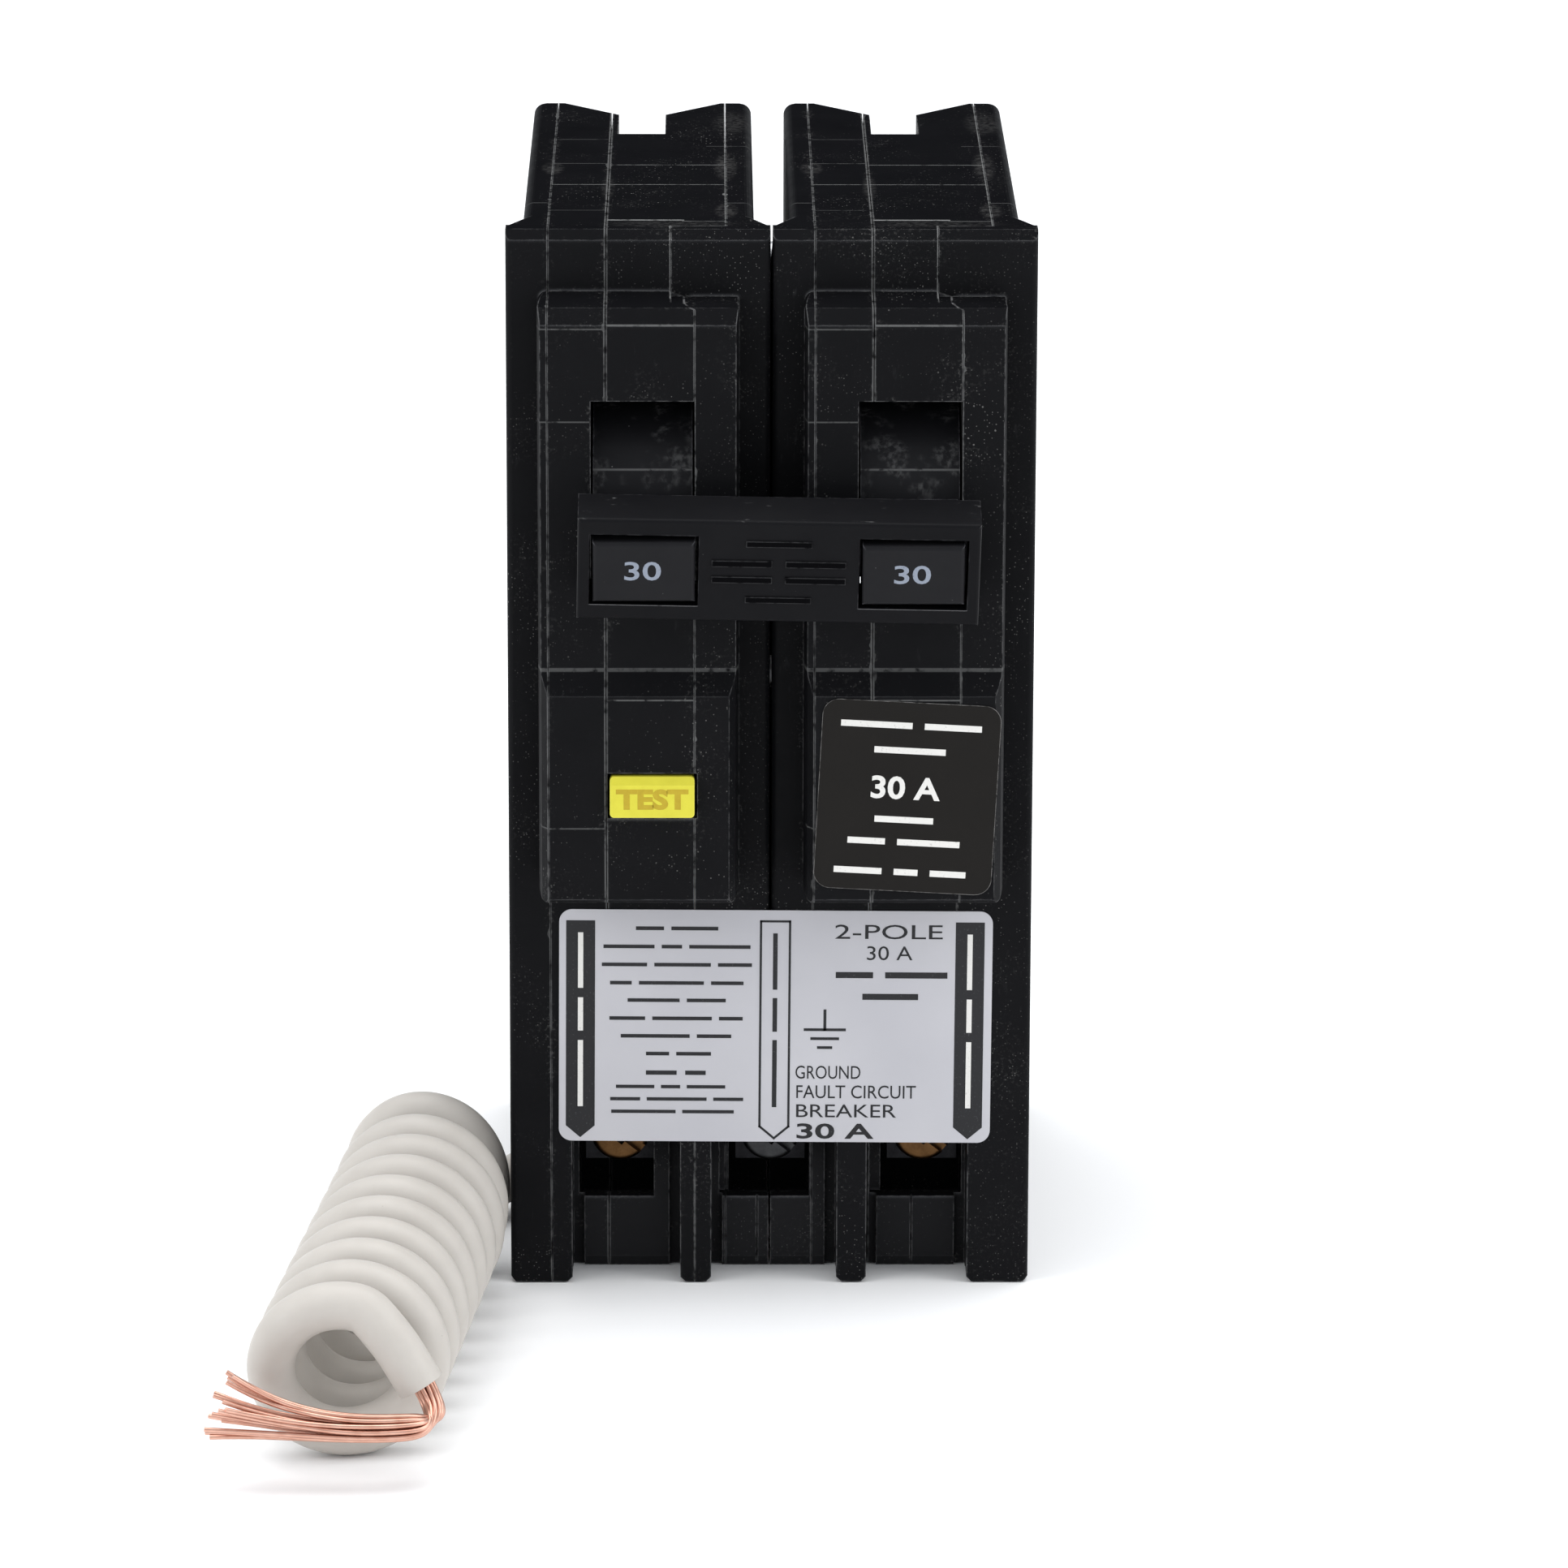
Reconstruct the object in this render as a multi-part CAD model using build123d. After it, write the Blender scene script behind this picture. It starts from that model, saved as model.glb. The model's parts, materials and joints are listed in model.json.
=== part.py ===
from build123d import *
import math
import os

# Two-pole plug-on GFCI circuit breaker with a neutral pigtail, in millimetres.
# Working axes: X across the two poles, Y backwards from the shoulder face, Z up towards the line end.
# The breaker stands on its load end at Z = 0. save() moves every piece so that Y = 0 is mid depth.

# ---- driving dimensions -------------------------------------------------------------------------
POLE_WIDTH = 25.1
POLE_PITCH = 25.3
CASE_DEPTH = 62.4            # shoulder face to the rear tips
REAR_WALL = 57.0             # rear face of the middle stretch
SHOULDER_HEIGHT = 104.1
TIP_HEIGHT = 105.6
FOOT_HEIGHT = 14.0
LINE_BLOCK_BOTTOM = 76.0
NOSE_SIDE_STEP = 1.55        # each side of the nose is set in by this much
NOSE_START = 3.0
NOSE_FULL_SET = 5.5
NOSE_CORNER = 0.9            # rounding where the nose's roof meets its sides
WALL = 1.8
EDGE_ROUND = 0.6

# shell splits, measured from each pole's left face
SIDE_SPLIT = 4.0
CASE_SPLIT = 9.5
COVER_SPLIT = 20.9
LIP_SPLIT_TOP = 15.65
LIP_SPLIT_FRONT = 17.9
LIP_DEPTH = 2.5              # the cover's front lip reaches back to here
LIP_JOG_TOP = 98.2
LIP_JOG_BOTTOM = 97.4
SEAM_GAP = 0.06
WIDE_SEAM_GAP = 0.1
PARTITION = (6.2, 7.4)
MECHANISM_INNER = 22.0
BOARD_BAY_INNER = 3.0

# raised escutcheon on each pole
ESCUTCHEON_X = (3.05, 22.1)
ESCUTCHEON_TOP = 98.3
UPPER_FACE_Y = -6.0
LOWER_FACE_Y = -7.2
STEP_TOP = 63.0
STEP_BOTTOM = 60.6
ESCUTCHEON_BOTTOM = 40.2
ESCUTCHEON_CORNER = 0.9
ESCUTCHEON_TOP_STEP = 0.5    # the mechanism cover's part of the escutcheon starts this much lower
SLOT_X = (8.1, 17.9)
SLOT_Z = (68.9, 88.9)

# handle, its drum and the tie
PIVOT_Y = 4.0
PIVOT_Z = 78.9
OFF_ANGLE = 15.0             # the handle points this far below square when it is off
RIGHT_HANDLE_LAG = 1.2       # the right handle hangs this much lower in its window
DRUM_R = 9.0
DRUM_PAD_R = 9.6
DRUM_PAD_HALF_ANGLE = 34.0
TRUNNION_R = 2.5
TRUNNION_BORE_R = 2.56
HANDLE_X = (8.35, 17.95)
HANDLE_FACE_R = 18.4
HANDLE_THICKNESS = 6.3
TIE_X = (-18.3, 19.5)
TIE_FACE_R = 18.05
TIE_BACK_R = 12.9
TIE_HEIGHT = 10.6
TIE_SKEW = 1.1
WINDOW_GAP_X = 0.32
WINDOW_GAP_Z = 0.55

# test button in the left pole
BUTTON_X = (9.85, 17.9)
BUTTON_Z = (48.9, 52.8)
BUTTON_FACE_Y = -8.0
BUTTON_BACK_Y = -4.0
BUTTON_POCKET_BACK = -0.5
BUTTON_GAP = 0.25
BUTTON_CORNER = 0.4
BUTTON_BEVEL = (0.5, 0.75)   # depth and height of the bevel along its top

# load end: recessed openings between two side walls and two ribs, in breaker coordinates
OPENINGS_X = ((-19.2, -8.7), (-5.7, 6.5), (9.4, 19.2))
WINDOWS_X = ((-18.6, -11.3), (-4.9, 3.9), (9.8, 18.8))
SCREWS_X = (-14.6, 0.1, 15.0)
RECESS_DEPTH = 5.0
OPENING_TOP = 17.5
SILL_TOP = 7.2
SILL_GROOVE = 1.1            # width and depth of the groove at each end of a sill
SILL_BEVEL = (0.6, 1.1)      # depth and height of the bevel along a sill's lower edge
SILL_SEAMS_X = (-1.2, 13.9)
SILL_SEAM_WIDTH = 0.16
SILL_SEAM_DEPTH = 0.4
WALL_END_BEVEL = 0.5         # on the lower corners of the side walls and ribs
CHAMBER_HALF_WIDTH = 4.1
CHAMBER_Y = (6.5, 20.0)
CHAMBER_Z = (3.0, 20.0)
SCREW_Z = 13.0
SCREW_HEAD_R = 2.9
SCREW_HEAD_Y = (7.2, 9.2)
SCREW_SHANK_R = 1.8
LUG_Y = (9.5, 19.0)
LUG_Z = (9.7, 19.0)
LUG_HALF_WIDTH = 3.4
WIRE_BORE_R = 2.7
WIRE_BORE_Y = 14.3
WIRE_ENTRY_HALF = 3.4        # half width and half depth of the case's wire entry below a lug

# bus-stab slot at the rear of the nose, from the pole's left face
STAB_X = (10.2, 14.9)
STAB_FLOOR_Y = 49.5
STAB_NOTCH_Y = 46.6          # front end of the slot in the nose's roof
STAB_BOTTOM = 82.0
LEAD_IN_Y = 56.4
LEAD_IN_HALF = 8.0
JAW_TOP = 99.0

RIVETS = ((24.0, 97.0), (51.5, 72.0), (51.5, 27.0), (5.5, 30.0), (5.5, 60.0))
RIVET_R = 1.55
RIVET_HEAD_R = 2.8
RIVET_HEAD_DEPTH = 1.2

# mechanism pivots
ARM_PIVOT = (18.0, 66.0)
CRADLE_PIVOT = (44.0, 64.0)
POST_R = 1.5
POST_BORE_R = 1.56
TRIP_BAR = (26.0, 57.0)
TRIP_BAR_R = 1.5

# neutral pigtail
WIRE_D = 4.4
COIL_B = 6.5                 # half height of the turns, to the wire's middle
COIL_SECTIONS = (            # along the coil: Y, the middle's X, and half width to the wire's middle
    (-55.6, -39.3, 6.8), (-8.0, -34.3, 6.7), (10.0, -33.4, 5.8),
)
PIGTAIL_EXIT = (-19.5, 30.0, 4.0)
PIGTAIL_TURN = 47.0          # the exit points this far round from the left towards the front
GROMMET_R = 3.3
GROMMET_LENGTH = 6.0
GROMMET_FIT = 0.02
NOTCH_HALF_WIDTH = 3.4
NOTCH_TOP = 7.8

TIE_FRONT_Y = (PIVOT_Y - TIE_FACE_R * math.cos(math.radians(OFF_ANGLE))
               - TIE_HEIGHT / 2 * math.sin(math.radians(OFF_ANGLE)))
DEPTH_CENTRE = (CASE_DEPTH + TIE_FRONT_Y) / 2
POLE_LEFT = {"left_pole": -POLE_PITCH / 2 - POLE_WIDTH / 2, "right_pole": POLE_PITCH / 2 - POLE_WIDTH / 2}


# ---- helpers --------------------------------------------------------------------------------------
def block(x, y, z):
    """A box between the low and high values of each pair."""
    size = Box(x[1] - x[0], y[1] - y[0], z[1] - z[0])
    return Pos((x[0] + x[1]) / 2, (y[0] + y[1]) / 2, (z[0] + z[1]) / 2) * size


def rod_x(y, z, radius, x):
    middle = Pos((x[0] + x[1]) / 2, y, z)
    return middle * Rot(0, 90, 0) * Cylinder(radius, x[1] - x[0])


def rod_y(x, z, radius, y):
    middle = Pos(x, (y[0] + y[1]) / 2, z)
    return middle * Rot(90, 0, 0) * Cylinder(radius, y[1] - y[0])


def rod_z(x, y, radius, z):
    return Pos(x, y, (z[0] + z[1]) / 2) * Cylinder(radius, z[1] - z[0])


def side_plate(points, x):
    """An outline of (y, z) points, as thick as the x pair."""
    outline = make_face(Plane.YZ * Polyline(*points, close=True))
    return Pos(x[0], 0, 0) * extrude(outline, x[1] - x[0])


def top_plate(points, z):
    """An outline of (x, y) points, as thick as the z pair."""
    outline = make_face(Polyline(*points, close=True))
    return Pos(0, 0, z[0]) * extrude(outline, z[1] - z[0])


def spring(start, end, radius, wire, turns):
    """A round-wire coil spring between two points."""
    start = Vector(*start)
    axis = Vector(*end) - start
    path = Helix(axis.length / turns, axis.length, radius)
    profile = Plane(path @ 0, z_dir=path % 0) * Circle(wire / 2)
    return Plane(start, z_dir=axis) * sweep(profile, path, is_frenet=True)


def save(name, shape):
    moved = Pos(0, -DEPTH_CENTRE, 0) * shape
    export_step(moved, f"parts/{name}.step")
    print(f"{name}: {moved.volume:.1f} mm3, {len(moved.solids())} solid(s)")


# ---- case -----------------------------------------------------------------------------------------
def outer_block():
    """One pole's full-width block, with its foot and its line-end block, seen from the side."""
    outline = [
        (0, 0), (CASE_DEPTH, 0), (CASE_DEPTH, FOOT_HEIGHT), (REAR_WALL, FOOT_HEIGHT + 3),
        (REAR_WALL, LINE_BLOCK_BOTTOM - 3), (CASE_DEPTH, LINE_BLOCK_BOTTOM),
        (CASE_DEPTH, 86.0), (NOSE_FULL_SET, SHOULDER_HEIGHT - 2.2), (NOSE_START, SHOULDER_HEIGHT),
        (0.9, SHOULDER_HEIGHT), (0, SHOULDER_HEIGHT - 0.9),
    ]
    body = side_plate(outline, (0, POLE_WIDTH))
    upright_front = body.edges().filter_by(Axis.Z).group_by(Axis.Y)[0]
    return fillet(upright_front, EDGE_ROUND)


def nose():
    """The narrower line end: slanted shoulders in front, rounded rear corners, top rising to the rear."""
    near = NOSE_SIDE_STEP
    far = POLE_WIDTH - NOSE_SIDE_STEP
    round_off = 1.2
    plan = [
        (0.1, NOSE_START - 0.5), (near, NOSE_FULL_SET), (near, CASE_DEPTH - round_off),
        (near + round_off, CASE_DEPTH), (far - round_off, CASE_DEPTH), (far, CASE_DEPTH - round_off),
        (far, NOSE_FULL_SET), (POLE_WIDTH - 0.1, NOSE_START - 0.5),
    ]
    column = top_plate(plan, (LINE_BLOCK_BOTTOM, TIP_HEIGHT))
    roof = [(0, 70), (CASE_DEPTH, 70), (CASE_DEPTH, TIP_HEIGHT), (NOSE_START, SHOULDER_HEIGHT),
            (0, SHOULDER_HEIGHT)]
    body = column & side_plate(roof, (0, POLE_WIDTH))
    sides = [edge for edge in body.edges()
             if edge.center().Z > SHOULDER_HEIGHT and min(abs(edge.center().X - x) for x in (near, far)) < 0.01]
    return fillet(sides, NOSE_CORNER)


def escutcheon():
    """The raised front: an upper block round the handle and a slightly prouder lower block."""
    outline = [
        (1.0, ESCUTCHEON_TOP), (0, ESCUTCHEON_TOP), (-4.6, ESCUTCHEON_TOP - 0.7),
        (UPPER_FACE_Y, ESCUTCHEON_TOP - 2.1), (UPPER_FACE_Y, STEP_TOP), (LOWER_FACE_Y, STEP_BOTTOM),
        (LOWER_FACE_Y, ESCUTCHEON_BOTTOM + 0.4), (LOWER_FACE_Y + 0.4, ESCUTCHEON_BOTTOM),
        (1.0, ESCUTCHEON_BOTTOM),
    ]
    body = side_plate(outline, ESCUTCHEON_X)
    inset = 0.3
    plan = [
        (ESCUTCHEON_X[0], 1.0), (ESCUTCHEON_X[0], -4.2), (ESCUTCHEON_X[0] + inset, LOWER_FACE_Y + 0.9),
        (ESCUTCHEON_X[0] + 3 * inset, LOWER_FACE_Y), (ESCUTCHEON_X[1] - 3 * inset, LOWER_FACE_Y),
        (ESCUTCHEON_X[1] - inset, LOWER_FACE_Y + 0.9), (ESCUTCHEON_X[1], -4.2), (ESCUTCHEON_X[1], 1.0),
    ]
    body &= top_plate(plan, (ESCUTCHEON_BOTTOM - 1, ESCUTCHEON_TOP + 1))
    width = ESCUTCHEON_X[1] - ESCUTCHEON_X[0]
    height = ESCUTCHEON_TOP - ESCUTCHEON_BOTTOM
    middle = Pos(ESCUTCHEON_X[0] + width / 2, ESCUTCHEON_BOTTOM + height / 2)
    body &= extrude(Plane.XZ * middle * RectangleRounded(width, height, ESCUTCHEON_CORNER), 20, both=True)
    lowered = (ESCUTCHEON_TOP - ESCUTCHEON_TOP_STEP, ESCUTCHEON_TOP + 1)
    return body - block((LIP_SPLIT_TOP, POLE_WIDTH), (LOWER_FACE_Y - 1, 0), lowered)


def inner_bays():
    """The narrow board bay and the wide mechanism bay, either side of the partition."""
    board_bay = side_plate(
        [(6.0, 24.0), (54.0, 24.0), (54.0, 78.0), (47.0, 94.0), (6.0, 94.0)],
        (BOARD_BAY_INNER, PARTITION[0]),
    )
    mechanism_bay = side_plate(
        [(WALL, 22.0), (REAR_WALL - WALL, 22.0), (REAR_WALL - WALL, 79.0), (STAB_FLOOR_Y, 79.0),
         (STAB_FLOOR_Y, 101.2), (5.0, 101.2), (WALL, 98.0)],
        (PARTITION[1], MECHANISM_INNER),
    )
    return board_bay + mechanism_bay


def stab_slot():
    """The slot that the bus stab enters from behind, with its funnel."""
    middle = (STAB_X[0] + STAB_X[1]) / 2
    half = (STAB_X[1] - STAB_X[0]) / 2
    slit = block(STAB_X, (STAB_FLOOR_Y - 0.6, CASE_DEPTH + 1), (STAB_BOTTOM, TIP_HEIGHT + 1))
    slit += block(STAB_X, (STAB_NOTCH_Y, STAB_FLOOR_Y), (JAW_TOP + 1.0, TIP_HEIGHT + 1))
    funnel = top_plate(
        [(middle - half, LEAD_IN_Y), (middle + half, LEAD_IN_Y), (middle + LEAD_IN_HALF, CASE_DEPTH + 0.1),
         (middle - LEAD_IN_HALF, CASE_DEPTH + 0.1)],
        (STAB_BOTTOM, TIP_HEIGHT + 1),
    )
    return slit + funnel


def rail_hook():
    """The slot in the foot that hooks over the panel's mounting rail."""
    return block((-1, POLE_WIDTH + 1), (55.6, 58.8), (-1, 8.0))


def sill_trim(opening):
    """The groove at each end of one sill and the bevel along its lower edge."""
    depth, height = SILL_BEVEL
    trim = side_plate([(RECESS_DEPTH - 1, -1), (RECESS_DEPTH + depth, -1), (RECESS_DEPTH + depth, 0),
                       (RECESS_DEPTH - 0.02, height), (RECESS_DEPTH - 1, height)], opening)
    groove_y = (RECESS_DEPTH - 1, RECESS_DEPTH + SILL_GROOVE)
    for groove_x in ((opening[0], opening[0] + SILL_GROOVE), (opening[1] - SILL_GROOVE, opening[1])):
        trim += block(groove_x, groove_y, (-1, OPENING_TOP))
    return trim


def wall_end_bevels():
    """Cuts for the lower corners of the side walls and ribs, in front of the sills."""
    size = WALL_END_BEVEL
    half = POLE_PITCH / 2 + POLE_WIDTH / 2
    corners = [(-half, 1), (half, -1)]
    for low, high in OPENINGS_X:
        corners += [(low, -1), (high, 1)]
    cuts = None
    for x, inward in corners:
        outline = Plane.XZ * Polyline((x - inward, -1), (x - inward, size), (x, size), (x + inward * size, 0),
                                      (x + inward * size, -1), close=True)
        cut = Pos(0, RECESS_DEPTH, 0) * extrude(make_face(outline), RECESS_DEPTH + 1, dir=(0, -1, 0))
        cuts = cut if cuts is None else cuts + cut
    return cuts


def load_end_cuts():
    """The recessed openings, their windows, the terminal chambers and the wire entries, in breaker X."""
    entry_y = (WIRE_BORE_Y - WIRE_ENTRY_HALF, WIRE_BORE_Y + WIRE_ENTRY_HALF)
    cuts = None
    for opening, window, screw in zip(OPENINGS_X, WINDOWS_X, SCREWS_X):
        piece = block(opening, (-1, RECESS_DEPTH), (-1, OPENING_TOP))
        piece += block(window, (RECESS_DEPTH - 1, CHAMBER_Y[0] + 0.5), (SILL_TOP, OPENING_TOP))
        piece += block((screw - CHAMBER_HALF_WIDTH, screw + CHAMBER_HALF_WIDTH), CHAMBER_Y, CHAMBER_Z)
        piece += block((screw - WIRE_ENTRY_HALF, screw + WIRE_ENTRY_HALF), entry_y, (-1, CHAMBER_Z[0] + 1))
        piece += sill_trim(opening)
        cuts = piece if cuts is None else cuts + piece
    for x in SILL_SEAMS_X:
        cuts += block((x - SILL_SEAM_WIDTH / 2, x + SILL_SEAM_WIDTH / 2),
                      (RECESS_DEPTH - 1, RECESS_DEPTH + SILL_SEAM_DEPTH), (-1, SILL_TOP + 1))
    return cuts


def along_exit(distance, side=0.0):
    """(x, y) so far out along the pigtail's exit line and so far to one side of it."""
    angle = math.radians(PIGTAIL_TURN)
    out = (-math.cos(angle), -math.sin(angle))
    return (PIGTAIL_EXIT[0] + out[0] * distance - out[1] * side,
            PIGTAIL_EXIT[1] + out[1] * distance + out[0] * side)


def exit_rod(radius, span):
    """A rod on the pigtail's exit line, between two distances along it."""
    start = Vector(*along_exit(span[0]), PIGTAIL_EXIT[2])
    end = Vector(*along_exit(span[1]), PIGTAIL_EXIT[2])
    return extrude(Plane(start, z_dir=end - start) * Circle(radius), (end - start).length)


def exit_notch():
    """The channel in the left side wall, open at the load end, where the pigtail comes out."""
    reach = 16.0
    half = NOTCH_HALF_WIDTH
    return top_plate([along_exit(0, half), along_exit(reach, half), along_exit(reach, -half), along_exit(0, -half)],
                     (-1, NOTCH_TOP))


def strap_passages(pole):
    """Slots that let the straps climb from the terminal chambers into the mechanism bay."""
    passages = block((10.3, 14.7), (17.8, 19.5), (18.5, 23.0))
    if pole == "left_pole":
        passages += block((15.8, POLE_WIDTH + 1), (17.6, 19.5), (18.8, 20.5))
        passages += block((15.8, 18.2), (17.6, 19.5), (18.8, 23.0))
    return passages


def pole_body(pole):
    """One pole's case before it is split into shells."""
    body = outer_block() + nose() + escutcheon()
    body -= inner_bays()
    body -= block(SLOT_X, (LOWER_FACE_Y - 1, WALL + 1), SLOT_Z)
    body -= rod_x(PIVOT_Y, PIVOT_Z, TRUNNION_BORE_R, (PARTITION[0] + 0.1, 20.0))
    body -= stab_slot()
    body -= rail_hook()
    body -= strap_passages(pole)
    body -= Pos(-POLE_LEFT[pole], 0, 0) * (load_end_cuts() + wall_end_bevels())
    for y, z in RIVETS:
        body -= rod_x(y, z, RIVET_R + 0.05, (-1, POLE_WIDTH + 1))
    outer_face = (0, RIVET_HEAD_DEPTH)
    if pole == "right_pole":
        outer_face = (POLE_WIDTH - RIVET_HEAD_DEPTH, POLE_WIDTH)
    for y, z in RIVETS:
        body -= rod_x(y, z, RIVET_HEAD_R + 0.1, outer_face)
    body -= rod_x(*TRIP_BAR, TRIP_BAR_R + 0.06, (-1, MECHANISM_INNER) if pole == "right_pole"
                  else (MECHANISM_INNER - 1, POLE_WIDTH + 1))
    if pole == "left_pole":
        gap = BUTTON_GAP
        body -= block((BUTTON_X[0] - gap, BUTTON_X[1] + gap), (LOWER_FACE_Y - 1, BUTTON_POCKET_BACK),
                      (BUTTON_Z[0] - gap, BUTTON_Z[1] + gap))
        body -= rod_y(13.9, 50.85, 1.2, (-2, 3))
        to_breaker = Pos(-POLE_LEFT[pole], 0, 0)
        body -= to_breaker * exit_notch()
        body -= to_breaker * exit_rod(GROMMET_R + GROMMET_FIT, (-GROMMET_LENGTH - 2.0, 1.0))
    return body


def lip_region(gap):
    """The space of the mechanism cover: its plate plus the front lip, grown by half a gap."""
    grow = gap / 2
    far = POLE_WIDTH + 1
    low_z, high_z = -2, TIP_HEIGHT + 2
    plate = block((COVER_SPLIT - grow, far), (-20, CASE_DEPTH + 1), (low_z, high_z))
    front = make_face(Plane.XZ * Polyline(
        (far, low_z), (LIP_SPLIT_FRONT - grow, low_z), (LIP_SPLIT_FRONT - grow, LIP_JOG_BOTTOM),
        (LIP_SPLIT_TOP - grow, LIP_JOG_TOP), (LIP_SPLIT_TOP - grow, high_z), (far, high_z), close=True))
    lip = Pos(0, LIP_DEPTH + grow, 0) * extrude(front, 30, dir=(0, -1, 0))
    return plate + lip


def shells(pole):
    """The four shells of one pole, from its left face to its right face."""
    body = pole_body(pole)
    fine = SEAM_GAP / 2
    wide = WIDE_SEAM_GAP / 2
    deep = (-20, CASE_DEPTH + 1)
    tall = (-2, TIP_HEIGHT + 2)
    cover = body & lip_region(-SEAM_GAP)
    rest = body - lip_region(SEAM_GAP)
    pieces = {
        "side_cover": rest & block((-1, SIDE_SPLIT - fine), deep, tall),
        "outer_case": rest & block((SIDE_SPLIT + fine, CASE_SPLIT - wide), deep, tall),
        "inner_case": rest & block((CASE_SPLIT + wide, POLE_WIDTH + 1), deep, tall),
    }
    cover += rod_x(PIVOT_Y, PIVOT_Z, 4.3, (18.1, MECHANISM_INNER + 0.2)) & block((0, 30), (1.0, 60), (60, 90))
    cover -= rod_x(PIVOT_Y, PIVOT_Z, TRUNNION_BORE_R, (17.0, 20.0))
    cover += rod_x(*ARM_PIVOT, POST_R, (11.0, MECHANISM_INNER + 0.2))
    cover += rod_x(*CRADLE_PIVOT, POST_R, (14.0, MECHANISM_INNER + 0.2))
    pieces["mechanism_cover"] = cover
    return pieces


# ---- operating parts ------------------------------------------------------------------------------
def swing(shape, angle):
    """Turns a piece about the handle's pivot, down for a positive angle."""
    pivot = Axis((0, PIVOT_Y, PIVOT_Z), (1, 0, 0))
    return shape.rotate(pivot, angle)


def handle():
    """The toggle: drum, raised pad, stem and flat-faced head, square to the front, then turned to OFF."""
    drum = rod_x(PIVOT_Y, PIVOT_Z, DRUM_R, (8.3, 17.7))
    reach = DRUM_PAD_R * 1.5
    half = math.radians(DRUM_PAD_HALF_ANGLE)
    wedge = side_plate(
        [(PIVOT_Y, PIVOT_Z), (PIVOT_Y - reach, PIVOT_Z - reach * math.tan(half)),
         (PIVOT_Y - reach, PIVOT_Z + reach * math.tan(half))],
        (8.3, 17.7),
    )
    pad = rod_x(PIVOT_Y, PIVOT_Z, DRUM_PAD_R, (8.3, 17.7)) & wedge
    half_thick = HANDLE_THICKNESS / 2
    head_z = (PIVOT_Z - half_thick, PIVOT_Z + half_thick)
    head = block(HANDLE_X, (PIVOT_Y - HANDLE_FACE_R, PIVOT_Y - TIE_BACK_R + 1.2), head_z)
    face_edges = head.edges().group_by(Axis.Y)[0]
    head = fillet(face_edges, 0.45)
    stem = block((8.5, 17.5), (PIVOT_Y - HANDLE_FACE_R + 3, PIVOT_Y - 5), (head_z[0] + 0.3, head_z[1] - 0.3))
    pins = rod_x(PIVOT_Y, PIVOT_Z, TRUNNION_R, (6.4, 19.8))
    return drum + pad + stem + head + pins


def handle_tie():
    """The bar that joins both handle heads, with a window for each."""
    half = TIE_HEIGHT / 2
    bar = block(TIE_X, (PIVOT_Y - TIE_FACE_R, PIVOT_Y - TIE_BACK_R), (PIVOT_Z - half, PIVOT_Z + half))
    bar = fillet(bar.edges().group_by(Axis.Y)[0], 0.35)
    window_z = HANDLE_THICKNESS / 2 + WINDOW_GAP_Z
    for pole in POLE_LEFT:
        left = POLE_LEFT[pole]
        window_x = (left + HANDLE_X[0] - WINDOW_GAP_X, left + HANDLE_X[1] + WINDOW_GAP_X)
        bar -= block(window_x, (-30, 0), (PIVOT_Z - window_z, PIVOT_Z + window_z))
    middle = (TIE_X[0] + TIE_X[1]) / 2
    bar = bar.rotate(Axis((middle, 0, PIVOT_Z - 0.15), (0, 1, 0)), TIE_SKEW)
    return swing(Pos(0, 0, -0.15) * bar, OFF_ANGLE)


def contact_arm():
    plate = side_plate(
        [(15.4, 64.0), (19.0, 62.6), (22.0, 64.4), (40.0, 75.6), (40.0, 77.6), (34.4, 77.6), (16.4, 68.8)],
        (11.6, 13.6),
    )
    return plate - rod_x(*ARM_PIVOT, POST_BORE_R, (10, 15))


def moving_contact():
    return block((11.0, 14.2), (35.0, 39.0), (77.6, 78.8))


def fixed_contact():
    strap = block((10.8, 14.3), (33.0, 48.0), (84.4, 85.6))
    return strap + block((11.0, 14.2), (35.0, 39.0), (83.2, 84.4))


def line_jaw():
    """The spring clip that grips the bus stab."""
    leaf_z = (85.6, JAW_TOP)
    bridge = block((10.3, 14.8), (46.8, 48.0), leaf_z)
    left_leaf = block((10.3, 11.1), (47.0, 61.0), leaf_z)
    right_leaf = block((14.0, 14.8), (47.0, 61.0), leaf_z)
    pinch = block((11.0, 11.5), (54.0, 57.0), leaf_z) + block((13.6, 14.1), (54.0, 57.0), leaf_z)
    return bridge + left_leaf + right_leaf + pinch


def cradle():
    plate = side_plate(
        [(30.0, 59.5), (45.0, 61.2), (47.2, 64.0), (45.0, 66.8), (30.0, 63.0), (28.5, 60.5)],
        (14.4, 15.6),
    )
    return plate - rod_x(*CRADLE_PIVOT, POST_BORE_R, (14, 16))


def arc_chute():
    """Steel splitter plates between two fibre walls."""
    chute = block((8.0, 8.8), (41.2, 48.5), (75.0, 82.5)) + block((16.8, 17.6), (41.2, 48.5), (75.0, 82.5))
    for level in range(4):
        low = 75.5 + 1.8 * level
        chute += block((8.7, 16.9), (41.2, 48.5), (low, low + 0.8))
    return chute


def bimetal():
    return block((10.5, 14.5), (41.0, 42.0), (24.2, 56.0))


def magnet_yoke():
    z = (37.0, 47.0)
    return (block((9.0, 9.8), (38.5, 44.8), z) + block((15.2, 16.0), (38.5, 44.8), z)
            + block((9.0, 16.0), (44.0, 44.8), z))


def armature():
    return block((10.2, 14.8), (36.5, 37.5), (36.0, 52.0)) + rod_x(37.0, 52.0, 0.8, (9.4, 15.6))


def braid():
    return side_plate(
        [(41.0, 56.0), (42.0, 56.0), (42.0, 60.2), (41.0, 61.2), (24.0, 61.2), (24.0, 60.4), (40.6, 60.4),
         (41.0, 60.0)],
        (11.8, 13.4),
    )


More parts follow.
